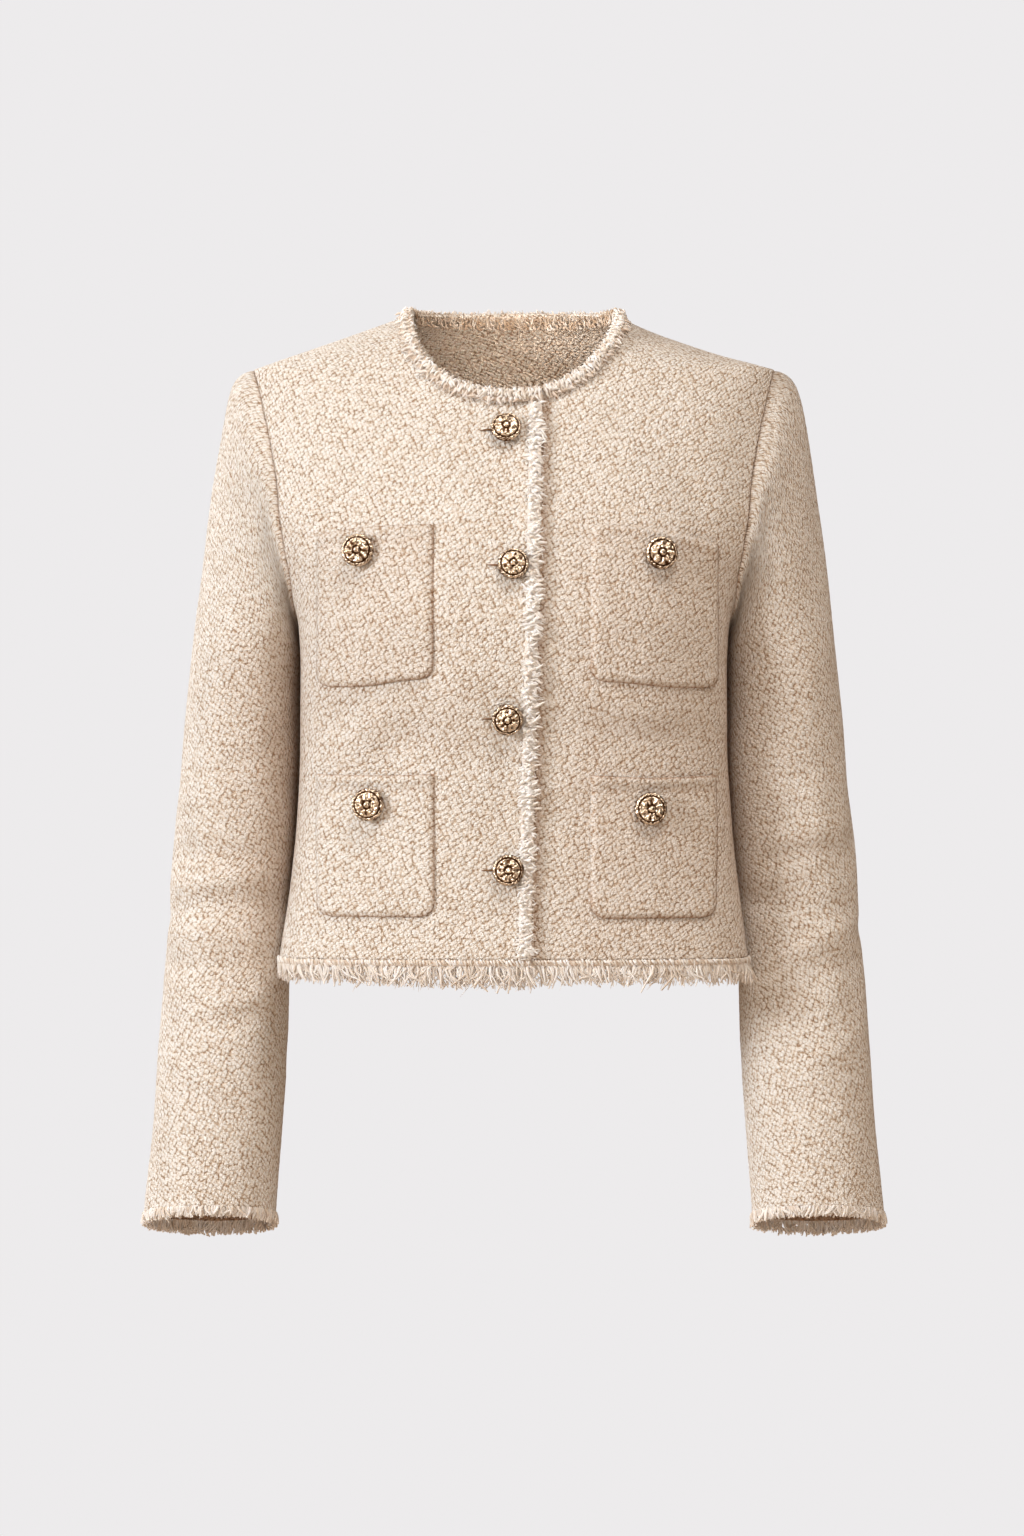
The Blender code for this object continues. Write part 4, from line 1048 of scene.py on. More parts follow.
# the shade where a sleeve faces the body, and in front of that: where each starts and is full
sleeveShade = {
    "inner": 0.08, "innerFrom": (0.36, 0.50), "innerAbove": (-0.48, -0.38),
    "flank": {right: 0.36, left: 0.12}, "flankFrom": (0.16, 0.40), "flankTo": (0.50, 0.44),
    "flankBelow": (-0.17, -0.24), "flankAbove": (-0.50, -0.40),
}


def shadeOnSleeve(side, turn, height):
    look = sleeveShade
    inner = smooth(*look["innerFrom"], np.abs(turn)) * smooth(*look["innerAbove"], height)
    flank = smooth(*look["flankFrom"], turn) * smooth(*look["flankTo"], turn)
    flank = flank * smooth(*look["flankBelow"], height) * smooth(*look["flankAbove"], height)
    return look["inner"] * inner + look["flank"][side] * flank


def sleeve(side, name, seed):
    shape, cell = sleeveShape, sleeveShape["cell"]
    columns = segments(shape["girth"], cell)
    capRuns = np.linspace(0, 1, segments(shape["capLength"], cell) + 1) ** shape["capPower"]
    tubeRuns = 1 + np.linspace(0, shape["top"] - shape["cuff"], segments(shape["tubeLength"], cell) + 1)[1:]
    turns = np.linspace(-0.5, 0.5, columns + 1)
    if side == right:
        turns = turns[::-1]
    turn, run = np.meshgrid(turns, np.concatenate([capRuns, tubeRuns]))
    point, normal = sleeveWithNormal(side, turn, run)
    point[:, -1], normal[:, -1] = point[:, 0], normal[:, 0]
    u, along = measured(point, columns // 2)
    v = along[-1:] - along
    sewn = bell(along, 0, cloth["seamWidth"])
    underarm = np.minimum(np.abs(turn + 0.5), np.abs(0.5 - turn)) * 0.33  # metres from the sleeve's seam
    line = bell(underarm, 0, shape["lineWidth"])
    soft = sleeveRelief(side, turn, point[..., 2]) * smooth(0, shape["stiffCap"], along)
    swayRound, swayDown = shape["swaySize"]
    sway = shape["sway"] * softNoise(u / swayRound, along / swayDown, seed)
    soft += sway * smooth(0, shape["stiffLine"], along) * smooth(0, shape["stiffLine"], underarm)
    relief = nubRelief(u, v, 25) * (1 - sewn) * (1 - line) + soft - shape["lineDip"] * line
    relief[:, -1] = relief[:, 0]
    dip = armholeSeam(side, turn)[1] * (cloth["seamDip"] * sewn)[..., None]
    outer = point + normal * relief[..., None] - dip
    inner = thinned(point + normal * (soft[..., None] - cut["wall"]))
    for grid in (outer, inner):  # the last column meets the first
        grid[:, -1] = grid[:, 0]
    # painted shade: darker along the armhole seam and the underarm line, where the sleeve faces the body,
    # and on the inner face near the cuff
    paintedShade = shape["seamShade"] * sewn**2 + shape["lineShade"] * line
    paintedShade = np.clip(paintedShade + shadeOnSleeve(side, turn, point[..., 2]), 0, 1)
    deep = thinned(shape["cuffShade"] * smooth(*shape["cuffShadeEnd"], v))
    return clothPiece(name, [(outer, inner, (u, v), paintedShade, deep)], closedRound=True)


sleeveRight = finishPiece(sleeve(right, "tweedSleeveRight", 51), "tweed", tweeds, "sleeve_right")
sleeveLeft = finishPiece(sleeve(left, "tweedSleeveLeft", 67), "tweed", tweeds, "sleeve_left")
print("sleeves made")


# patch pockets

pocketCut = {
    "corner": 0.0100, "cell": 0.0016, "edge": 0.0042, "edgeHeight": 0.0010, "edgeGap": 0.0003,
    "lipDepth": 0.0030, "lip": 0.0016, "lipWidth": 0.0036,
    "lineDepth": 0.0105, "lineWidth": 0.0018, "lineDip": 0.0003, "lineShade": 0.1,
    "edgeShade": 0.75, "edgeShadeWidth": 0.0020, "mouthShadeWidth": 0.0018,
    "sway": 0.0006, "swaySize": 0.03, "edgeNubs": 0.45, "weaveShift": (0.0021, 0.0013),
    "places": (
        # name, side, x at outer edge, x at inner edge, top, bottom, sag of the outer top corner,
        # rise of the inner lower corner, sag of the mouth's middle, painted shade below the mouth and over
        # the face
        ("upper_right", right, 0.1380, 0.0555, -0.1365, -0.2480, 0.0050, 0.0050, 0.0, 0.30, 0.12),
        ("upper_left", left, 0.1430, 0.0530, -0.1365, -0.2485, 0.0130, 0.0036, 0.0, 0.10, 0.15),
        ("lower_right", right, 0.1380, 0.0550, -0.3085, -0.4085, 0.0, 0.0, 0.0012, 0.62, 0.0),
        ("lower_left", left, 0.1415, 0.0530, -0.3095, -0.4095, 0.0, 0.0, 0.0018, 0.66, 0.16),
    ),
}


def pocket(spec, seed):
    name, side, outerX, innerX, top, bottom, sag, rise, dip, mouthShade, faceShade = spec
    shape, corner, total = pocketCut, pocketCut["corner"], top - bottom
    columns, rows = segments(outerX - innerX, shape["cell"]), segments(total, shape["cell"])
    shares = np.linspace(0, 1, columns + 1)[None, :]
    if side == right:
        shares = shares[:, ::-1]
    depth = total * (1 - np.linspace(0, 1, rows + 1))[:, None]  # the first row is the bottom
    low = np.clip(corner - (total - depth), 0, corner)
    narrow = corner - np.sqrt(np.maximum(corner**2 - low**2, 0))
    xs = mix(innerX + narrow, outerX - narrow, shares)
    height = top - depth - (sag * shares**3 + dip * np.sin(pi * shares)) * (1 - depth / total)
    height = height + rise * smooth(0.3, 1.0, depth / total) * (1 - smooth(0.0, 0.75, shares))
    angle = angleAtX(side, side * xs, height)
    point, normal = frontWithNormal(side, angle, height)
    middle = (innerX + outerX) / 2
    qx = np.abs(xs - middle) - (outerX - innerX) / 2 + corner
    qz = depth - total + corner
    inside = corner - np.hypot(np.maximum(qx, 0), np.maximum(qz, 0)) - np.minimum(np.maximum(qx, qz), 0)
    edge = smooth(0, shape["edge"], inside)
    u, v = (line + shift for line, shift in zip(alongGrain(side, angle, height), shape["weaveShift"]))
    lip = bell(depth, shape["lipDepth"], shape["lipWidth"]) * edge
    line = bell(depth, shape["lineDepth"], shape["lineWidth"]) * edge
    follow = creaseRelief(side * xs, height, frontCreases)
    stand = mix(shape["edgeHeight"], cut["lift"], edge**0.7) + follow
    stand = stand + shape["lip"] * lip - shape["lineDip"] * line
    stand = stand + nubRelief(u, v, 45) * mix(shape["edgeNubs"], 1, edge)
    stand = stand + shape["sway"] * edge * softNoise(u / shape["swaySize"], v / shape["swaySize"], seed)
    under = mix(shape["edgeGap"], cut["layerGap"], edge) + follow
    shadedSide = smooth(0.010, 0.030, side * (xs - middle))  # away from the lit side
    # painted shadow: a brown line along the pocket's edges away from the light and along its bottom, and
    # along the stitched line
    paintedEdgeShadow = shape["edgeShade"] * np.maximum(shadedSide, smooth(0.7, 0.9, depth / total))
    paintedShade = paintedEdgeShadow * (1 - smooth(0, shape["edgeShadeWidth"], inside)) + shape["lineShade"] * line
    # painted shadow below the mouth, and painted shade over the whole face
    paintedShade = paintedShade + mouthShade * (1 - smooth(0, shape["mouthShadeWidth"], depth)) + faceShade
    paintedShade = np.clip(paintedShade, 0, 1)
    outer, inner = point + normal * stand[..., None], point + normal * under[..., None]
    return clothPiece(camel("pocket", name), [(outer, thinned(inner), (u, v), paintedShade, thinned(paintedShade))])


for number, spec in enumerate(pocketCut["places"]):
    finishPiece(pocket(spec, 81 + 6 * number), "tweed", tweeds, "pocket_" + spec[0])
print("pockets made")


# frayed yarn: many short tapered strands, as curves with a four-sided bevel made into one mesh

upwards = np.array([0, 0, 1.0])
bevel = 0.001
unevenWidths, unevenTones = (0.7, 1.2), (0.25, 1.0)
stepAlong = 0.01  # how far along a line the next point is looked up for its direction


def pitched(draw, length, pitch, jitter=0.4):  # how many strands, and the share of the line at each
    count = max(int(length / (pitch * coarser)), 8)
    return count, (np.arange(count) + 0.5 + draw.uniform(-jitter, jitter, count)) / count


def lineNoise(run, size, seed, row=0.0):  # run is in metres along a line
    return softNoise(run / size, 0 * run + row, seed)


def grownWays(draw, forward, tangent, normal, waves, look):
    # the lean is along the line: its middle, how much of the waves it takes, and its spread
    middle, byWave, spread = look["lean"]
    lean = middle + byWave * waves + draw.normal(0, spread, len(waves))
    tilt = draw.normal(*look["tilt"], len(waves))
    return unit(forward + tangent * lean[:, None] + normal * tilt[:, None])


def strands(
        name, roots, ways, lifts, lengths, widths, rise, curl, draw,
        points=5, tip=0.45, shade=0.0, fade=2.2):
    # roots, ways (the direction of growth) and lifts (out of the cloth) are arrays of vectors;
    # shade adds painted shade over a whole strand, and fade is how soon the painted shade at its root ends
    count = len(roots)
    sideways = unit(np.cross(ways, lifts))
    shares = np.linspace(0, 1, points)
    t = shares[None, :, None]
    bend = draw.normal(0, 1, (count, 1, 1)) * curl
    twist = draw.normal(0, 1, (count, 1, 1)) * curl * 0.5
    run = lengths[:, None, None]
    path = roots[:, None] + ways[:, None] * run * t
    path = path + sideways[:, None] * run * (bend * t**2 + twist * np.sin(t * 5))
    rise = (np.zeros(count) + rise)[:, None, None]
    path = path + lifts[:, None] * rise * np.sin(pi * np.minimum(t * 0.9 + 0.05, 1))
    thick = widths[:, None] * np.interp(shares, (0, 0.3, 1), (0.85, 1, tip))[None, :]
    curve = bpy.data.curves.new(name, "CURVE")
    curve.dimensions = "3D"
    curve.bevel_depth = bevel
    curve.bevel_resolution = 0
    curve.use_fill_caps = True
    places = np.concatenate([path, np.ones((count, points, 1))], 2).astype(np.float32)
    radii = (thick / bevel).astype(np.float32)
    for place, radius in zip(places, radii):
        spline = curve.splines.new("POLY")
        spline.points.add(points - 1)
        spline.points.foreach_set("co", place.ravel())
        spline.points.foreach_set("radius", radius)
    holder = addObject(name + "Curve", curve)
    bpy.context.view_layer.update()
    graph = bpy.context.evaluated_depsgraph_get()
    mesh = bpy.data.meshes.new_from_object(holder.evaluated_get(graph))
    bpy.data.objects.remove(holder)
    bpy.data.curves.remove(curve)
    perStrand = len(mesh.vertices) // count
    setFloats(mesh, "strand", np.repeat(draw.uniform(*unevenTones, count), perStrand))
    co = np.zeros(len(mesh.vertices) * 3, np.float32)
    mesh.vertices.foreach_get("co", co)
    far = np.linalg.norm(co.reshape(count, perStrand, 3) - roots[:, None], axis=2) / lengths[:, None]
    # painted shade, kept in the root attribute: dark at each strand's root and fading along it, plus the
    # shade given for the strand
    deep = np.maximum(1 - fade * far, 0) + np.reshape(shade, (-1, 1))
    setFloats(mesh, "root", np.clip(deep, 0, 1))
    mesh.shade_smooth()
    return mesh


def joined(name, meshes):
    bm = bmesh.new()
    for mesh in meshes:
        bm.from_mesh(mesh)
        bpy.data.meshes.remove(mesh)
    return addObject(name, meshFrom(bm, name))


woven = {"cell": 0.0009, "ripple": 0.0007, "rippleSize": (0.0023, 0.0021), "toneSize": 0.003, "edge": 0.15}


def bandMesh(name, at, length, width, thickness, seed):
    # a narrow woven strip under the tufts; at(share, distance, lift) gives its points
    cell = woven["cell"] * coarser
    columns, rows = max(round(length / cell), 8), max(round(width / cell), 4)
    shares, across = np.meshgrid(np.linspace(0, 1, columns + 1), np.linspace(0, width, rows + 1))
    dome = np.sqrt(np.clip(1 - (2 * across / width - 1) ** 4, 0, 1))
    rippleLong, rippleWide = woven["rippleSize"]
    ripple = woven["ripple"] * softNoise(shares * length / rippleLong, across / rippleWide, seed)
    top = at(shares, across, thickness * mix(woven["edge"], 1, dome) + ripple * dome)
    bottom = at(shares, across, 0 * dome)
    bm = bmesh.new()
    for _ in range(2):
        bmesh.ops.create_grid(bm, x_segments=columns, y_segments=rows, size=1)
    bm.faces.ensure_lookup_table()
    bmesh.ops.reverse_faces(bm, faces=bm.faces[len(bm.faces) // 2:])
    bmesh.ops.bridge_loops(bm, edges=[e for e in bm.edges if e.is_boundary])
    mesh = meshFrom(bm, name)
    setPoints(mesh, np.concatenate([top.reshape(-1, 3), bottom.reshape(-1, 3)]))
    toneSize = woven["toneSize"]
    tone = 0.45 + 0.25 * softNoise(shares * length / toneSize, across / toneSize, seed + 1)
    both = np.concatenate([tone.ravel(), tone.ravel()])
    setFloats(mesh, "strand", both)
    # painted shade at half strength over the whole band, which lies under the tufts
    setFloats(mesh, "root", 0.5 + 0 * both)
    bm = bmesh.new()
    bm.from_mesh(mesh)
    bmesh.ops.recalc_face_normals(bm, faces=bm.faces)
    bm.to_mesh(mesh)
    bm.free()
    mesh.shade_smooth()
    return mesh


cut["trimGap"] = cut["layerGap"] * 0.45  # between the cloth and the trims on it

neckTrim = {
    "end": 0.996, "band": 0.0098, "thickness": 0.0016, "inset": 0.0002,
    "leftStart": 0.0002,  # how far past the right front's edge the left length starts
    "curl": 0.2, "lean": (0.15, 0.5, 0.32), "tilt": (0.10, 0.16), "wave": 0.0060, "rootSpread": 0.0005,
    "outerLayers": 2, "outerShade": 0.25,
    "layers": (
        # distance of the root, way (1 is away from the neck), reach, spread, rise, lift, radius, pitch
        (0.0092, 1, 0.0030, 0.0014, 0.0003, 0.0006, 0.00042, 0.0017),
        (0.0068, 1, 0.0046, 0.0020, 0.0009, 0.0012, 0.00120, 0.0026),
        (0.0032, 1, 0.0050, 0.0012, 0.0016, 0.0018, 0.00130, 0.0027),
        (0.0062, -1, 0.0046, 0.0012, 0.0016, 0.0018, 0.00120, 0.0027),
        (0.0022, -1, 0.0028, 0.0012, 0.0010, 0.0010, 0.00105, 0.0023),
        (0.0012, -1, 0.0026, 0.0014, 0.0003, 0.0006, 0.00036, 0.0019),
    ),
}
neckUpright = {  # tufts that stand up over the back's edge and cover its inner side
    "curl": 0.3, "lean": (0.55, 0.5, 0.45), "tilt": (0.05, 0.2), "wave": 0.009, "clump": 0.006,
    "rise": 0.001, "rootBeside": 0.0006, "sag": 0.0042, "endLift": 0.0016,
    "lengths": (0.65, 1.25), "clumpReach": 0.30, "shade": 0.80, "shadeSpread": 0.50, "fade": 1.6,
    "layers": (
        # how far below the edge the root is, reach, radius, pitch, how far inside the middle of the wall
        (0.0012, 0.0030, 0.00085, 0.0024, 0.0000),
        (0.0034, 0.0044, 0.00090, 0.0026, 0.0020),
        (0.0064, 0.0050, 0.00095, 0.0026, 0.0023),
        (0.0025, 0.0052, 0.00040, 0.0016, 0.0008),
    ),
}
placketTrim = {
    "band": 0.0082, "pastEdge": 0.0006, "thickness": 0.0012,
    "topGap": 0.0135,  # left free below the neck edge, for the neck trim
    "curl": 0.22, "lean": (-0.05, 0.80, 0.48), "tilt": (0.06, 0.12), "wave": 0.0055, "tuft": 0.0065,
    "rootSpread": 0.0012,
    "layers": (
        # the same columns; way 1 is towards the edge
        (0.0062, 1, 0.0050, 0.0020, 0.0003, 0.0003, 0.00040, 0.0018),
        (0.0058, 1, 0.0046, 0.0026, 0.0006, 0.0008, 0.00115, 0.0019),
        (0.0032, 1, 0.0052, 0.0022, 0.0011, 0.0014, 0.00120, 0.0021),
        (0.0046, -1, 0.0044, 0.0024, 0.0006, 0.0010, 0.00110, 0.0021),
        (0.0030, -1, 0.0038, 0.0020, 0.0002, 0.0003, 0.00095, 0.0022),
        (0.0024, -1, 0.0022, 0.0010, 0.0022, 0.0016, 0.00150, 0.0056),
        (0.0030, 1, 0.0026, 0.0010, 0.0022, 0.0016, 0.00145, 0.0052),
    ),
}


def besideNeck(side, place, share, distance):
    # a point of the cloth at a distance from the neckline, away from the neck, with its frame
    share, distance = np.broadcast_arrays(np.asarray(share, float), np.asarray(distance, float))
    kept = np.clip(share, 0, 1)
    angle, height = place(kept)
    before, after = place(np.maximum(kept - stepAlong, 0)), place(np.minimum(kept + stepAlong, 1))
    tangent = unit(bodyPoint(side, *after) - bodyPoint(side, *before))
    point, normal = bodyWithNormal(side, angle, height)
    away = unit(np.cross(tangent, normal))
    middle = np.array([0, 0, 2 * cut["neckTop"]])
    away = away * np.where(((point - middle) * away).sum(-1) < 0, -1, 1)[..., None]
    angle, height = slide(side, angle, height, away * (distance + neckTrim["inset"])[..., None])
    return angle, height, tangent, away


def lineLength(points):
    return float(gaps(points).sum())


def neckTrimPiece(name, node, side, place, isFront, seed):
    length = lineLength(bodyPoint(side, *place(np.linspace(0, 1, 200))))
    outwards = frontWithNormal if isFront else bodyWithNormal

    def at(share, distance, lift):
        angle, height, _, _ = besideNeck(side, place, share, distance)
        point, normal = outwards(side, angle, height)
        return point + normal * (cut["trimGap"] + lift)[..., None]

    meshes = [bandMesh(name + "Band", at, length, neckTrim["band"], neckTrim["thickness"], seed)]
    draw = np.random.default_rng(seed)
    for index, (distance, way, reach, spread, rise, lift, radius, pitch) in enumerate(neckTrim["layers"]):
        count, share = pitched(draw, length, pitch)
        distance = distance + draw.normal(0, neckTrim["rootSpread"], count)
        angle, height, tangent, away = besideNeck(side, place, share, distance)
        root, normal = outwards(side, angle, height)
        root = root + normal * (cut["trimGap"] + lift)
        waves = lineNoise(share * length, neckTrim["wave"], seed + 6, 0.3 * index)
        ways = grownWays(draw, away * way, tangent, normal, waves, neckTrim)
        lengths = reach + spread * draw.uniform(-1, 1, count)
        widths = radius * draw.uniform(*unevenWidths, count)
        meshes.append(strands(
            name + str(index), root, ways, normal, lengths, widths, rise, neckTrim["curl"], draw,
            shade=neckTrim["outerShade"] * (index < neckTrim["outerLayers"])))
    if not isFront:
        meshes += uprightTufts(name, side, place, length, seed, draw)
    return finishPiece(joined(name, meshes), "trim", (yarn if isFront else neckBackShadedYarn,), node)


def uprightTufts(name, side, place, length, seed, draw):
    trim = neckUpright
    for index, (down, reach, radius, pitch, forward) in enumerate(trim["layers"]):
        count, share = pitched(draw, length, pitch)
        angle, height, tangent, _ = besideNeck(side, place, share, trim["rootBeside"])
        root, normal = bodyWithNormal(side, angle, height)
        sag = trim["sag"] * np.sin(pi * share) ** 2 - trim["endLift"] * (2 * share - 1) ** 4
        root = root - normal * (cut["wall"] * 0.5 + forward)
        root[:, 2] -= down + sag
        waves = lineNoise(share * length, trim["wave"], seed + 9)
        ways = grownWays(draw, upwards, tangent, -normal, waves, trim)
        clumps = lineNoise(share * length, trim["clump"], seed + 8, index)
        lengths = reach * (draw.uniform(*trim["lengths"], count) + trim["clumpReach"] * clumps)
        widths = radius * draw.uniform(*unevenWidths, count)
        shade = trim["shade"] + trim["shadeSpread"] * draw.uniform(-1, 1, count)
        yield strands(
            name + "Up" + str(index), root, ways, -normal, lengths, widths, trim["rise"], trim["curl"], draw,
            shade=shade, fade=trim["fade"])


def neckPlaces():
    shares = np.linspace(0, 1, 2001)
    xs = bodyPoint(left, *neckFront(left, shares))[:, 0]
    start = float(np.interp(cut["edgeAtNeck"] + neckTrim["leftStart"], xs, shares))
    end = neckTrim["end"]
    yield "trimNeckRight", "trim_neck_right", right, lambda s: neckFront(right, s * end), True, 101
    yield "trimNeckLeft", "trim_neck_left", left, lambda s: neckFront(left, mix(start, end, s)), True, 113

    def backLine(s):
        angle, height = neckBack(np.abs(2 * s - 1) * end)
        return np.where(s < 0.5, angle, 2 * pi - angle), height

    yield "trimNeckBack", "trim_neck_back", left, backLine, False, 127


neckTrims = [neckTrimPiece(*spec) for spec in neckPlaces()]


def placketPiece(name, seed):
    side, trim = right, placketTrim
    edgeLength = lineLength(bodyPoint(side, *frontEdge(side, np.linspace(0, 1, 200))))
    top = 1 - trim["topGap"] / edgeLength

    def place(share, distance):
        _, level = frontEdge(side, top * np.clip(share, 0, 1))
        x = frontEdgeX(side, top * np.clip(share, 0, 1)) - trim["band"] + distance
        return frontWithNormal(side, angleAtX(side, x, level), level)

    def at(share, distance, lift):
        point, normal = place(share, distance)
        return point + normal * (cut["trimGap"] + lift)[..., None]

    width = trim["band"] + trim["pastEdge"]
    meshes = [bandMesh(name + "Band", at, edgeLength * top, width, trim["thickness"], seed)]
    draw = np.random.default_rng(seed)
    for index, (distance, way, reach, spread, rise, lift, radius, pitch) in enumerate(trim["layers"]):
        count, share = pitched(draw, edgeLength * top, pitch)
        root, normal = place(share, distance + draw.normal(0, trim["rootSpread"], count))
        away = unit(place(share, distance + 0.002)[0] - place(share, distance - 0.002)[0])
        tangent = unit(np.cross(normal, away))
        root = root + normal * (cut["trimGap"] + lift)
        tuft = lineNoise(share * edgeLength, trim["tuft"], seed + 5)
        waves = lineNoise(share * edgeLength, trim["wave"], seed + 6, 0.3 * index)
        ways = grownWays(draw, away * way, tangent, normal, waves, trim)
        lengths = reach + spread * (0.6 * draw.uniform(-1, 1, count) + tuft)
        widths = radius * draw.uniform(*unevenWidths, count)
        meshes.append(strands(
            name + str(index), root, ways, normal, lengths, widths, rise, trim["curl"], draw))
    return finishPiece(joined(name, meshes), "trim", (placketYarn,), "trim_placket")


placket = placketPiece("trimPlacket", 139)
print("neck and placket trims made")


# fringes of the hem and the cuffs

hemFringe = {
    "curl": 0.30, "lean": (0.12, 0.30, 0.15), "tilt": (0.02, 0.07), "clump": 0.006, "clumpReach": 0.0015,
    "rise": 0.0012, "rootSpread": 0.0003, "shade": 0.24, "ends": (0.003, 0.997),
    "band": 0.0052, "bandThickness": 0.0036, "bandLift": 0.0002,
    "layers": (
        # length, spread, radius, pitch, how far into the wall, how far below the edge
        (0.0146, 0.0030, 0.00036, 0.0021, 0.0006, 0.0030),
        (0.0132, 0.0026, 0.00105, 0.0016, 0.0001, 0.0034),
        (0.0142, 0.0026, 0.00110, 0.0017, 0.0012, 0.0026),
        (0.0136, 0.0030, 0.00100, 0.0017, 0.0021, 0.0022),
    ),
    "whip": {  # short slanting strands over the edge
        "pitch": 0.0022, "reach": 0.0044, "radius": 0.00095, "rise": 0.0010, "lift": 0.0006, "below": 0.0004,
        "lean": 0.55, "leanSpread": 0.25, "curl": 0.1,
    },
}
cuffFringe = {
    "curl": 0.26, "lean": (0.0, 0.30, 0.22), "tilt": (0.01, 0.10), "clump": 0.007, "rise": 0.0008,
    "tip": 0.7, "fade": 3.6, "shade": 0.26, "backShade": 0.08, "lengths": (0.82, 1.12),
    "rootAbove": 0.0006,
    "layers": (
        # length in front, length behind, radius, pitch, how far into the wall
        (0.0078, 0.0098, 0.00036, 0.0018, 0.0004),
        (0.0072, 0.0100, 0.00115, 0.0015, -0.0002),
        (0.0074, 0.0104, 0.00115, 0.0016, 0.0010),
        (0.0066, 0.0100, 0.00100, 0.0018, 0.0019),
    ),
}


def hemFringePiece(name, node, side, start, end, outwards, seed, longer=None):
    angles = np.linspace(start, end, 300)
    run = running(gaps(bodyPoint(side, angles, cut["hem"] + 0 * angles)))
    length = float(run[-1])
    draw, trim, whip = np.random.default_rng(seed), hemFringe, hemFringe["whip"]

    def angleAt(share):
        return np.interp(np.clip(share, 0.0, 1.0) * length, run, angles)

    def bandAt(share, distance, lift):
        point, normal = outwards(side, angleAt(share), cut["hem"] + trim["bandLift"] - distance)
        return point + normal * (lift - cut["wall"])[..., None]

    def tangentAt(angle, height, root):
        tangent = unit(outwards(side, angle + stepAlong, height)[0] - root)
        return tangent * np.where(tangent[:, :1] < 0, -1, 1)

    meshes = [bandMesh(name + "Band", bandAt, length, trim["band"], trim["bandThickness"], seed)]
    for layer, (reach, spread, radius, pitch, deep, below) in enumerate(trim["layers"]):
        count, share = pitched(draw, length, pitch, 0.45)
        share = np.clip(share, *trim["ends"])
        angle, height = angleAt(share), cut["hem"] - below + draw.normal(0, trim["rootSpread"], count)
        root, normal = outwards(side, angle, height)
        root = root - normal * deep
        clumps = lineNoise(share * length, trim["clump"], seed + 3, layer)
        ways = grownWays(draw, -upwards, tangentAt(angle, height, root), normal, clumps, trim)
        lengths = reach + spread * draw.uniform(-0.8, 0.8, count) + trim["clumpReach"] * clumps
        if longer is not None:
            lengths = lengths + longer(share)
        widths = radius * draw.uniform(*unevenWidths, count)
        rise = draw.uniform(0, trim["rise"], count)
        meshes.append(strands(
            name + str(layer), root, ways, normal, lengths, widths, rise, trim["curl"], draw,
            shade=trim["shade"] * draw.uniform(0, 1, count)))
    count, share = pitched(draw, length, whip["pitch"], 0.3)
    angle = angleAt(np.clip(share, *trim["ends"]))
    height = cut["hem"] - whip["below"] + draw.normal(0, trim["rootSpread"], count)
    root, normal = outwards(side, angle, height)
    lean = whip["lean"] + draw.normal(0, whip["leanSpread"], count)
    ways = unit(tangentAt(angle, cut["hem"] + 0 * angle, root) * lean[:, None] - upwards)
    lengths = whip["reach"] * draw.uniform(0.8, 1.2, count)
    widths = whip["radius"] * draw.uniform(0.8, 1.2, count)
    root = root + normal * whip["lift"]
    meshes.append(strands(
        name + "Whip", root, ways, normal, lengths, widths, whip["rise"], whip["curl"], draw))
    return finishPiece(joined(name, meshes), "trim", (yarn,), node)


seamAngle = cut["seamGap"] / 2 / 0.16  # half the side seam's gap, as an angle at the body's half width


def rightLonger(share):  # the right front's fringe is longer at the edge and shorter at the side seam
    return 0.0030 * (1 - smooth(0.08, 0.5, share)) - 0.0036 * smooth(0.35, 0.9, share)


def hemStart(side, x):
    return float(angleAtX(side, x, cut["hem"]))


hemFringes = [
    hemFringePiece(
        "fringeHemRight", "fringe_hem_right", right, hemStart(right, cut["edgeAtHem"]), pi / 2 - seamAngle,
        frontWithNormal, 151, rightLonger),
    hemFringePiece(
        "fringeHemLeft", "fringe_hem_left", left, hemStart(left, cut["underlapEdge"]), pi / 2 - seamAngle,
        frontWithNormal, 163),
    hemFringePiece(
        "fringeHemBack", "fringe_hem_back", left, pi / 2 + seamAngle, 1.5 * pi - seamAngle,
        bodyWithNormal, 175),
]


def cuffFringePiece(name, node, side, seed):
    trim, cuffRun = cuffFringe, 1 + sleeveShape["top"] - sleeveShape["cuff"]
    draw = np.random.default_rng(seed)
    length = lineLength(sleeveWithNormal(side, np.linspace(0, 1, 300), cuffRun + np.zeros(300))[0])
    meshes = []
    for layer, (inFront, behind, radius, pitch, deep) in enumerate(trim["layers"]):
        count, turn = pitched(draw, length, pitch, 0.45)
        rootRun = np.full(count, cuffRun - trim["rootAbove"])
        root, normal = sleeveWithNormal(side, turn, rootRun)
        tangent = unit(sleeveWithNormal(side, turn + stepAlong, rootRun)[0] - root)
        down = unit(sleeveWithNormal(side, turn, np.full(count, cuffRun + 0.004))[0] - root)
        root = root - normal * deep
        clumps = lineNoise(turn * length, trim["clump"], seed + 3, layer)
        ways = grownWays(draw, down, tangent, normal, clumps, trim)
        facing = 0.5 + 0.5 * np.sin(turn * 2 * pi)  # 1 in front, 0 behind
        lengths = mix(behind, inFront, facing) * draw.uniform(*trim["lengths"], count)
        widths = radius * draw.uniform(*unevenWidths, count)
        rise = draw.uniform(0, trim["rise"], count)
        shade = trim["backShade"] * (1 - facing) + trim["shade"] * draw.uniform(0, 1, count)
        meshes.append(strands(
            name + str(layer), root, ways, normal, lengths, widths, rise, trim["curl"], draw,
            tip=trim["tip"], fade=trim["fade"], shade=shade))
    return finishPiece(joined(name, meshes), "trim", (yarn,), node)


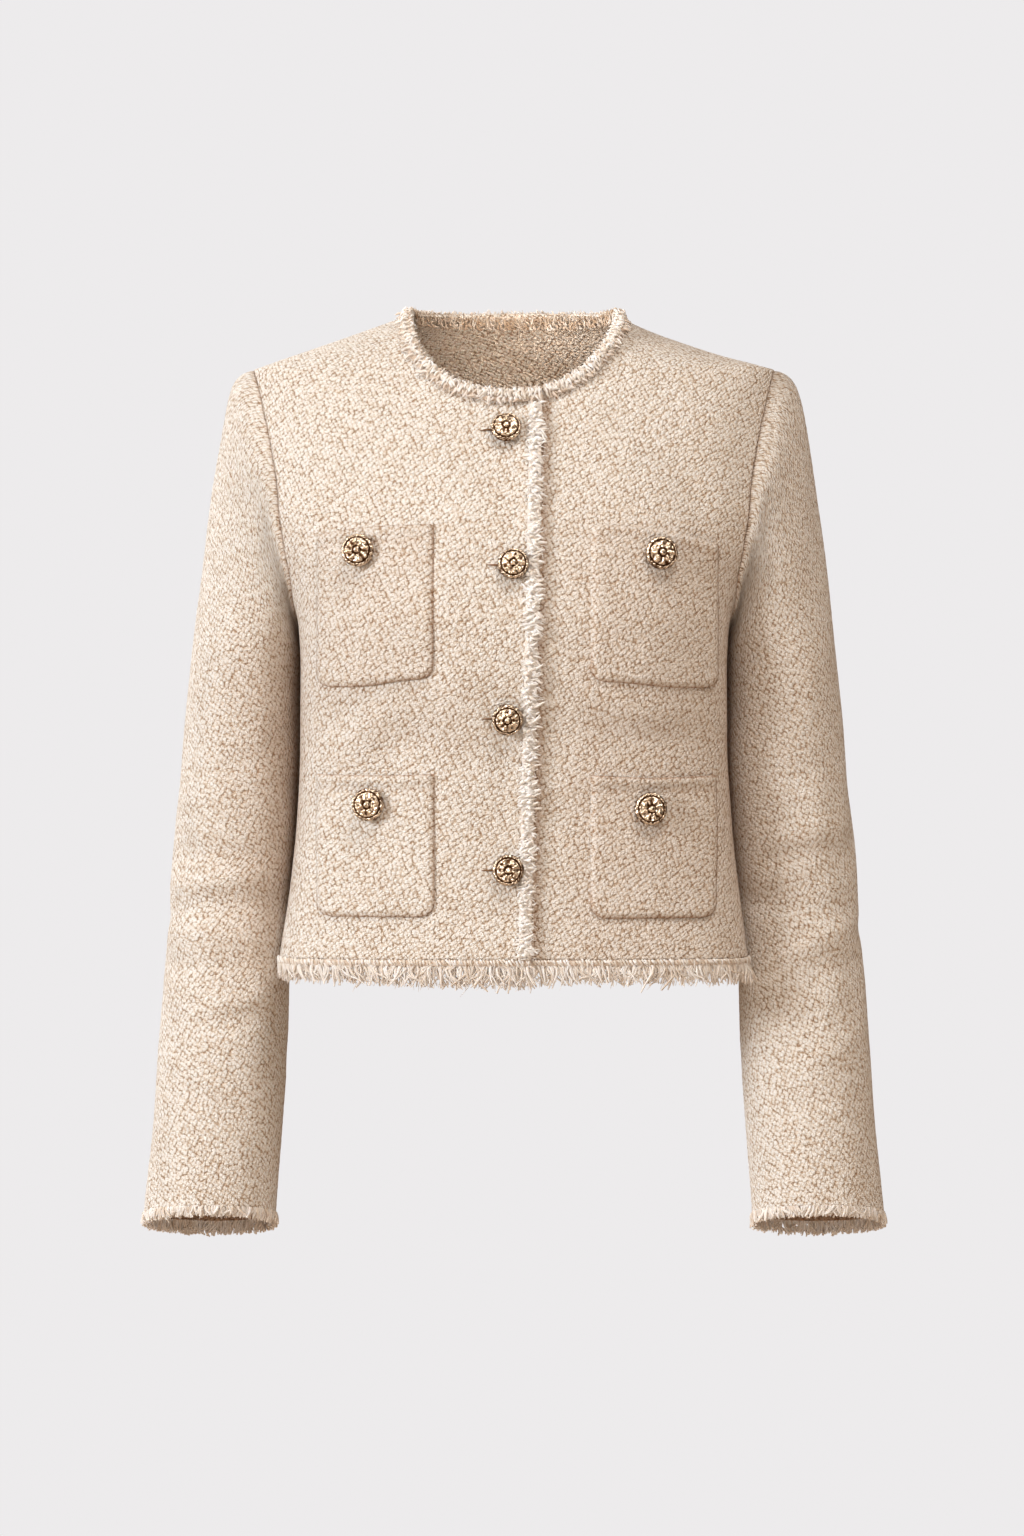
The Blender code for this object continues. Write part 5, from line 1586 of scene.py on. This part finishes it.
cuffFringes = [
    cuffFringePiece("fringeCuffRight", "fringe_cuff_right", right, 187),
    cuffFringePiece("fringeCuffLeft", "fringe_cuff_left", left, 199),
]
print("fringes made")


# buttons: a dome on a shank, with a rope rim and a raised rosette

buttonShape = {
    "radius": 0.0110, "around": 96, "rings": 26,
    "foot": ((0.0, 0.0003), (0.0036, 0.0003), (0.0036, 0.0022), (0.0090, 0.0028), (0.0104, 0.0034)),
    "rimHeight": 0.0042, "domeHeight": 0.0046, "rimDip": 0.0004,
    "ropes": 24, "ropeTwist": 54, "petals": 8, "petalTwist": 1.1, "beads": 14,
    "relief": 0.00125, "lump": 0.0014, "shoulder": 0.98,
    "front": ((-0.0055, -0.0690), (-0.0005, -0.1645), (-0.0045, -0.2700), (-0.0040, -0.3760)),
    "pocket": (
        ("upper_right", right, 0.1070, -0.1535), ("upper_left", left, 0.1010, -0.1555),
        ("lower_right", right, 0.1000, -0.3300), ("lower_left", left, 0.0935, -0.3330),
    ),
    "pocketFacing": 0.5, "pocketSize": 1.05,
}


def buttonRelief(r, theta, spin, lumps):  # r is a share of the radius, the heights a share of the relief
    shape = buttonShape
    rope = 0.5 + 0.5 * np.cos(shape["ropes"] * theta + shape["ropeTwist"] * (r - 0.9))
    ropeZone = smooth(0.80, 0.84, r) * (1 - smooth(0.97, 1.0, r))
    petal = np.abs(np.cos(shape["petals"] / 2 * (theta + spin) + shape["petalTwist"] * r))
    petalZone = smooth(0.24, 0.34, r) * (1 - smooth(0.66, 0.76, r))
    beads = (0.5 + 0.5 * np.cos(shape["beads"] * (theta - spin))) * bell(r, 0.70, 0.045)
    centre = 1 - smooth(0.10, 0.22, r)
    height = 0.75 * rope * ropeZone - 0.8 * bell(r, 0.785, 0.028)
    height = height + petalZone * (0.95 * petal**0.8 - 0.55 * bell(petal, 0.55, 0.16))
    height = height + 0.7 * beads + 0.85 * centre - 0.55 * bell(r, 0.25, 0.03)
    return height + 0.55 * lumps * (1 - centre)


def buttonMesh(name, seed):
    shape, radius = buttonShape, buttonShape["radius"]
    profile = list(shape["foot"])
    for k in range(shape["rings"] + 1):
        share = 1 - k / shape["rings"]
        dome = shape["domeHeight"] * math.sqrt(1 - (share * shape["shoulder"]) ** 2)
        profile.append((radius * share, shape["rimHeight"] + dome - shape["rimDip"] * (share > 0.97)))
    bm = bmesh.new()
    verts = [bm.verts.new((r, 0, up)) for r, up in profile]
    edges = [bm.edges.new(pair) for pair in zip(verts, verts[1:])]
    bmesh.ops.spin(
        bm, geom=verts + edges, cent=(0, 0, 0), axis=(0, 0, 1), angle=2 * pi, steps=shape["around"],
        use_merge=True)
    bmesh.ops.remove_doubles(bm, verts=bm.verts, dist=1e-6)
    bmesh.ops.recalc_face_normals(bm, faces=bm.faces)
    mesh = meshFrom(bm, name)
    co = np.zeros(len(mesh.vertices) * 3, np.float32)
    mesh.vertices.foreach_get("co", co)
    co = co.reshape(-1, 3).astype(float)
    isTop = co[:, 2] > shape["rimHeight"] - 0.0001
    spin = np.random.default_rng(seed).uniform(0, 2 * pi)
    lumps = softNoise(co[:, 0] / shape["lump"] + seed, co[:, 1] / shape["lump"], seed)
    r, theta = np.hypot(co[:, 0], co[:, 1]) / radius, np.arctan2(co[:, 1], co[:, 0])
    height = buttonRelief(r, theta, spin, lumps)
    co[:, 2] += np.where(isTop, shape["relief"] * height, 0)
    setPoints(mesh, co)
    setFloats(mesh, "hollow", np.clip(np.where(isTop, 0.55 - 0.75 * height, 0.75), 0, 1))
    mesh.shade_smooth()
    return mesh


def placeButton(name, node, side, x, height, lift, seed, faced=0.0, size=1.0):
    # faced is how far the button turns from the cloth's own direction to straight ahead
    mesh = buttonMesh(name, seed)
    foot, normal = frontWithNormal(side, angleAtX(side, x, height), np.float64(height))
    facing = Vector(unit(mix(normal, np.array([0.0, -1.0, 0.0]), faced)))
    turn = Vector((0, 0, 1)).rotation_difference(facing).to_matrix().to_4x4()
    mesh.transform(Matrix.Translation(Vector(foot + normal * lift)) @ turn @ Matrix.Scale(size, 4))
    return finishPiece(addObject(name, mesh), "button_gold", (gold,), node)


for number, (x, height) in enumerate(buttonShape["front"], 1):
    placeButton(f"buttonFront{number}", f"button_front_{number}", right, x, height, 0, 200 + number)
for number, (name, side, x, height) in enumerate(buttonShape["pocket"]):
    placeButton(
        camel("buttonPocket", name), "button_pocket_" + name, side, side * x, height,
        cut["lift"], 210 + number, buttonShape["pocketFacing"], buttonShape["pocketSize"])

slit = {"start": 0.0095, "end": 0.0185, "width": 0.00075, "lift": 0.0002, "rise": 0.0002, "curl": 0.02}


def buttonhole(name, x, height, seed):
    # the end of the slit that shows beside a front button, as a thin dark strand of painted shade
    root, normal = frontWithNormal(right, angleAtX(right, x - slit["start"], height), np.float64(height))
    tip, _ = frontWithNormal(right, angleAtX(right, x - slit["end"], height), np.float64(height))
    mesh = strands(
        name, (root + normal * slit["lift"])[None], unit(tip - root)[None], normal[None],
        np.array([np.linalg.norm(tip - root)]), np.array([slit["width"]]), slit["rise"], slit["curl"],
        np.random.default_rng(seed), points=7, tip=0.3)
    return finishPiece(addObject(name, mesh), "trim", (slitShade,))


for number, (x, height) in enumerate(buttonShape["front"], 1):
    buttonhole(f"buttonhole{number}", x, height, 230 + number)
print("buttons made")


# the cloth that shows, as it was cut

sheets = (
    # piece, flat width and length, area of the cut, what it hangs on, what goes with it
    (frontRight, (0.256, 0.505), 0.104, ["tweedBack"], [neckTrims[0], placket, hemFringes[0]]),
    (frontLeft, (0.265, 0.503), 0.106, ["tweedBack"], [neckTrims[1], hemFringes[1]]),
    (back, (0.444, 0.513), 0.194, ["tweedFrontRight", "tweedFrontLeft"], [neckTrims[2], hemFringes[2]]),
    (sleeveRight, (0.315, 0.600), 0.156, ["tweedFrontRight", "tweedBack"], [cuffFringes[0]]),
    (sleeveLeft, (0.315, 0.600), 0.156, ["tweedFrontLeft", "tweedBack"], [cuffFringes[1]]),
)
for piece, flat, area, rests, extras in sheets:
    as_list(rests)
    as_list(extras)
acrossEase, upEase = 1.12, 1.03  # a pocket is cut larger than it measures, for the curve of the chest
for name, side, outerX, innerX, top, bottom, *_ in pocketCut["places"]:
    size = (round((outerX - innerX) * acrossEase, 3), round((top - bottom) * upEase, 3))


# studio

studio = {
    "pale": (0.846, 0.831, 0.838), "bounce": (0.58, 0.44, 0.33),
    "under": (0.14, 0.09, 0.057), "over": (0.25, 0.175, 0.115),
    "mirroredLow": (0.03, 0.018, 0.010), "mirroredHigh": (0.95, 0.88, 0.78),
    "floorHeight": -1.35, "floorSize": 6.0,
    "eye": (-0.00144, -3.4, -0.30456), "lens": 36 * 3.4 / (1536 * 0.00072),
    "lights": (
        # name, place, what it points at, watts, size, colour
        ("keySoftbox", (-3.1, -2.05, 0.70), (0, 0, -0.3), 114, 1.2, (0.94, 0.975, 1.0)),
        ("frontSoftbox", (0.1, -3.5, -0.35), (0, 0, -0.3), 27, 1.5, (1.0, 0.885, 0.78)),
        ("fillSoftbox", (3.0, -0.3, -0.5), (0, 0, -0.3), 3, 2.2, (1.0, 0.85, 0.70)),
        ("topSoftbox", (0.6, -1.35, 2.3), (0, 0, -0.3), 47, 1.2, (1.0, 0.945, 0.88)),
        ("backSoftbox", (-2.0, 2.4, 1.3), (0, 0, -0.3), 90, 1.2, (1.0, 0.975, 0.945)),
        ("neckSoftbox", (-0.006, -0.034, -0.014), (0.026, 0.050, -0.034), 0.074, 0.05, (1.0, 0.86, 0.73)),
    ),
}


def floorMaterial():
    material, w, shader = startMaterial("paleFloor")
    setInputs(shader, {
        "Base Color": (0, 0, 0, 1), "Specular IOR Level": 0, "Roughness": 1, "Emission Strength": 1})
    seen = w.add("ShaderNodeLightPath").outputs["Is Camera Ray"]
    w.feed(shader.inputs["Emission Color"], w.colours(seen, studio["bounce"], studio["pale"]))
    clear = w.add("ShaderNodeBsdfTransparent").outputs[0]
    isUnder = w.add("ShaderNodeNewGeometry").outputs["Backfacing"]
    choice = w.fed("ShaderNodeMixShader", (isUnder, shader.outputs[0], clear))
    w.feed(material.node_tree.nodes["Material Output"].inputs[0], choice)
    return material


bm = bmesh.new()
bmesh.ops.create_grid(bm, x_segments=1, y_segments=1, size=studio["floorSize"] / 2)
bmesh.ops.translate(bm, verts=bm.verts, vec=(0, 0, studio["floorHeight"]))
floorMesh = meshFrom(bm, "floor")
floorMesh.materials.append(floorMaterial())
addObject("floor", floorMesh)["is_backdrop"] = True

world = bpy.data.worlds.new("studio")
bpy.context.scene.world = world
world.use_nodes = True
w = Wiring(world.node_tree)
rays = w.add("ShaderNodeLightPath").outputs
way = w.add("ShaderNodeSeparateXYZ")
w.feed(way.inputs[0], w.add("ShaderNodeTexCoord").outputs["Generated"])
slant = w.maths("MULTIPLY_ADD", way.outputs[0], -0.5, way.outputs[2])
ambient = w.colours(w.spread(slant, -0.9, 0.9, 0, 1), studio["under"], studio["over"])
mirrored = w.colours(w.spread(slant, -0.05, 0.65, 0, 1), studio["mirroredLow"], studio["mirroredHigh"])
seen = w.colours(rays["Is Glossy Ray"], ambient, mirrored)
seen = w.colours(rays["Is Camera Ray"], seen, studio["pale"])
w.feed(world.node_tree.nodes["Background"].inputs["Color"], seen)

for name, place, target, watts, size, colour in studio["lights"]:
    light = bpy.data.lights.new(name, "AREA")
    light.energy, light.size, light.color = watts, size, colour
    holder = addObject(name, light)
    holder.location = place
    holder.rotation_euler = (Vector(target) - Vector(place)).to_track_quat("-Z", "Y").to_euler()
holder.visible_camera = False  # the last one lights the inside of the neck, and is not seen there

camera = addObject("camera", bpy.data.cameras.new("camera"))
camera.location = studio["eye"]
camera.rotation_euler = (pi / 2, 0, 0)
camera.data.lens = studio["lens"]
bpy.context.scene.camera = camera
bpy.context.scene.view_settings.view_transform = "Standard"
print("studio made")

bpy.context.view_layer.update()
counts = [sum(len(p.vertices) - 2 for p in o.data.polygons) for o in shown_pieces() if o.type == "MESH"]
print("triangles", sum(counts), "largest", max(counts))
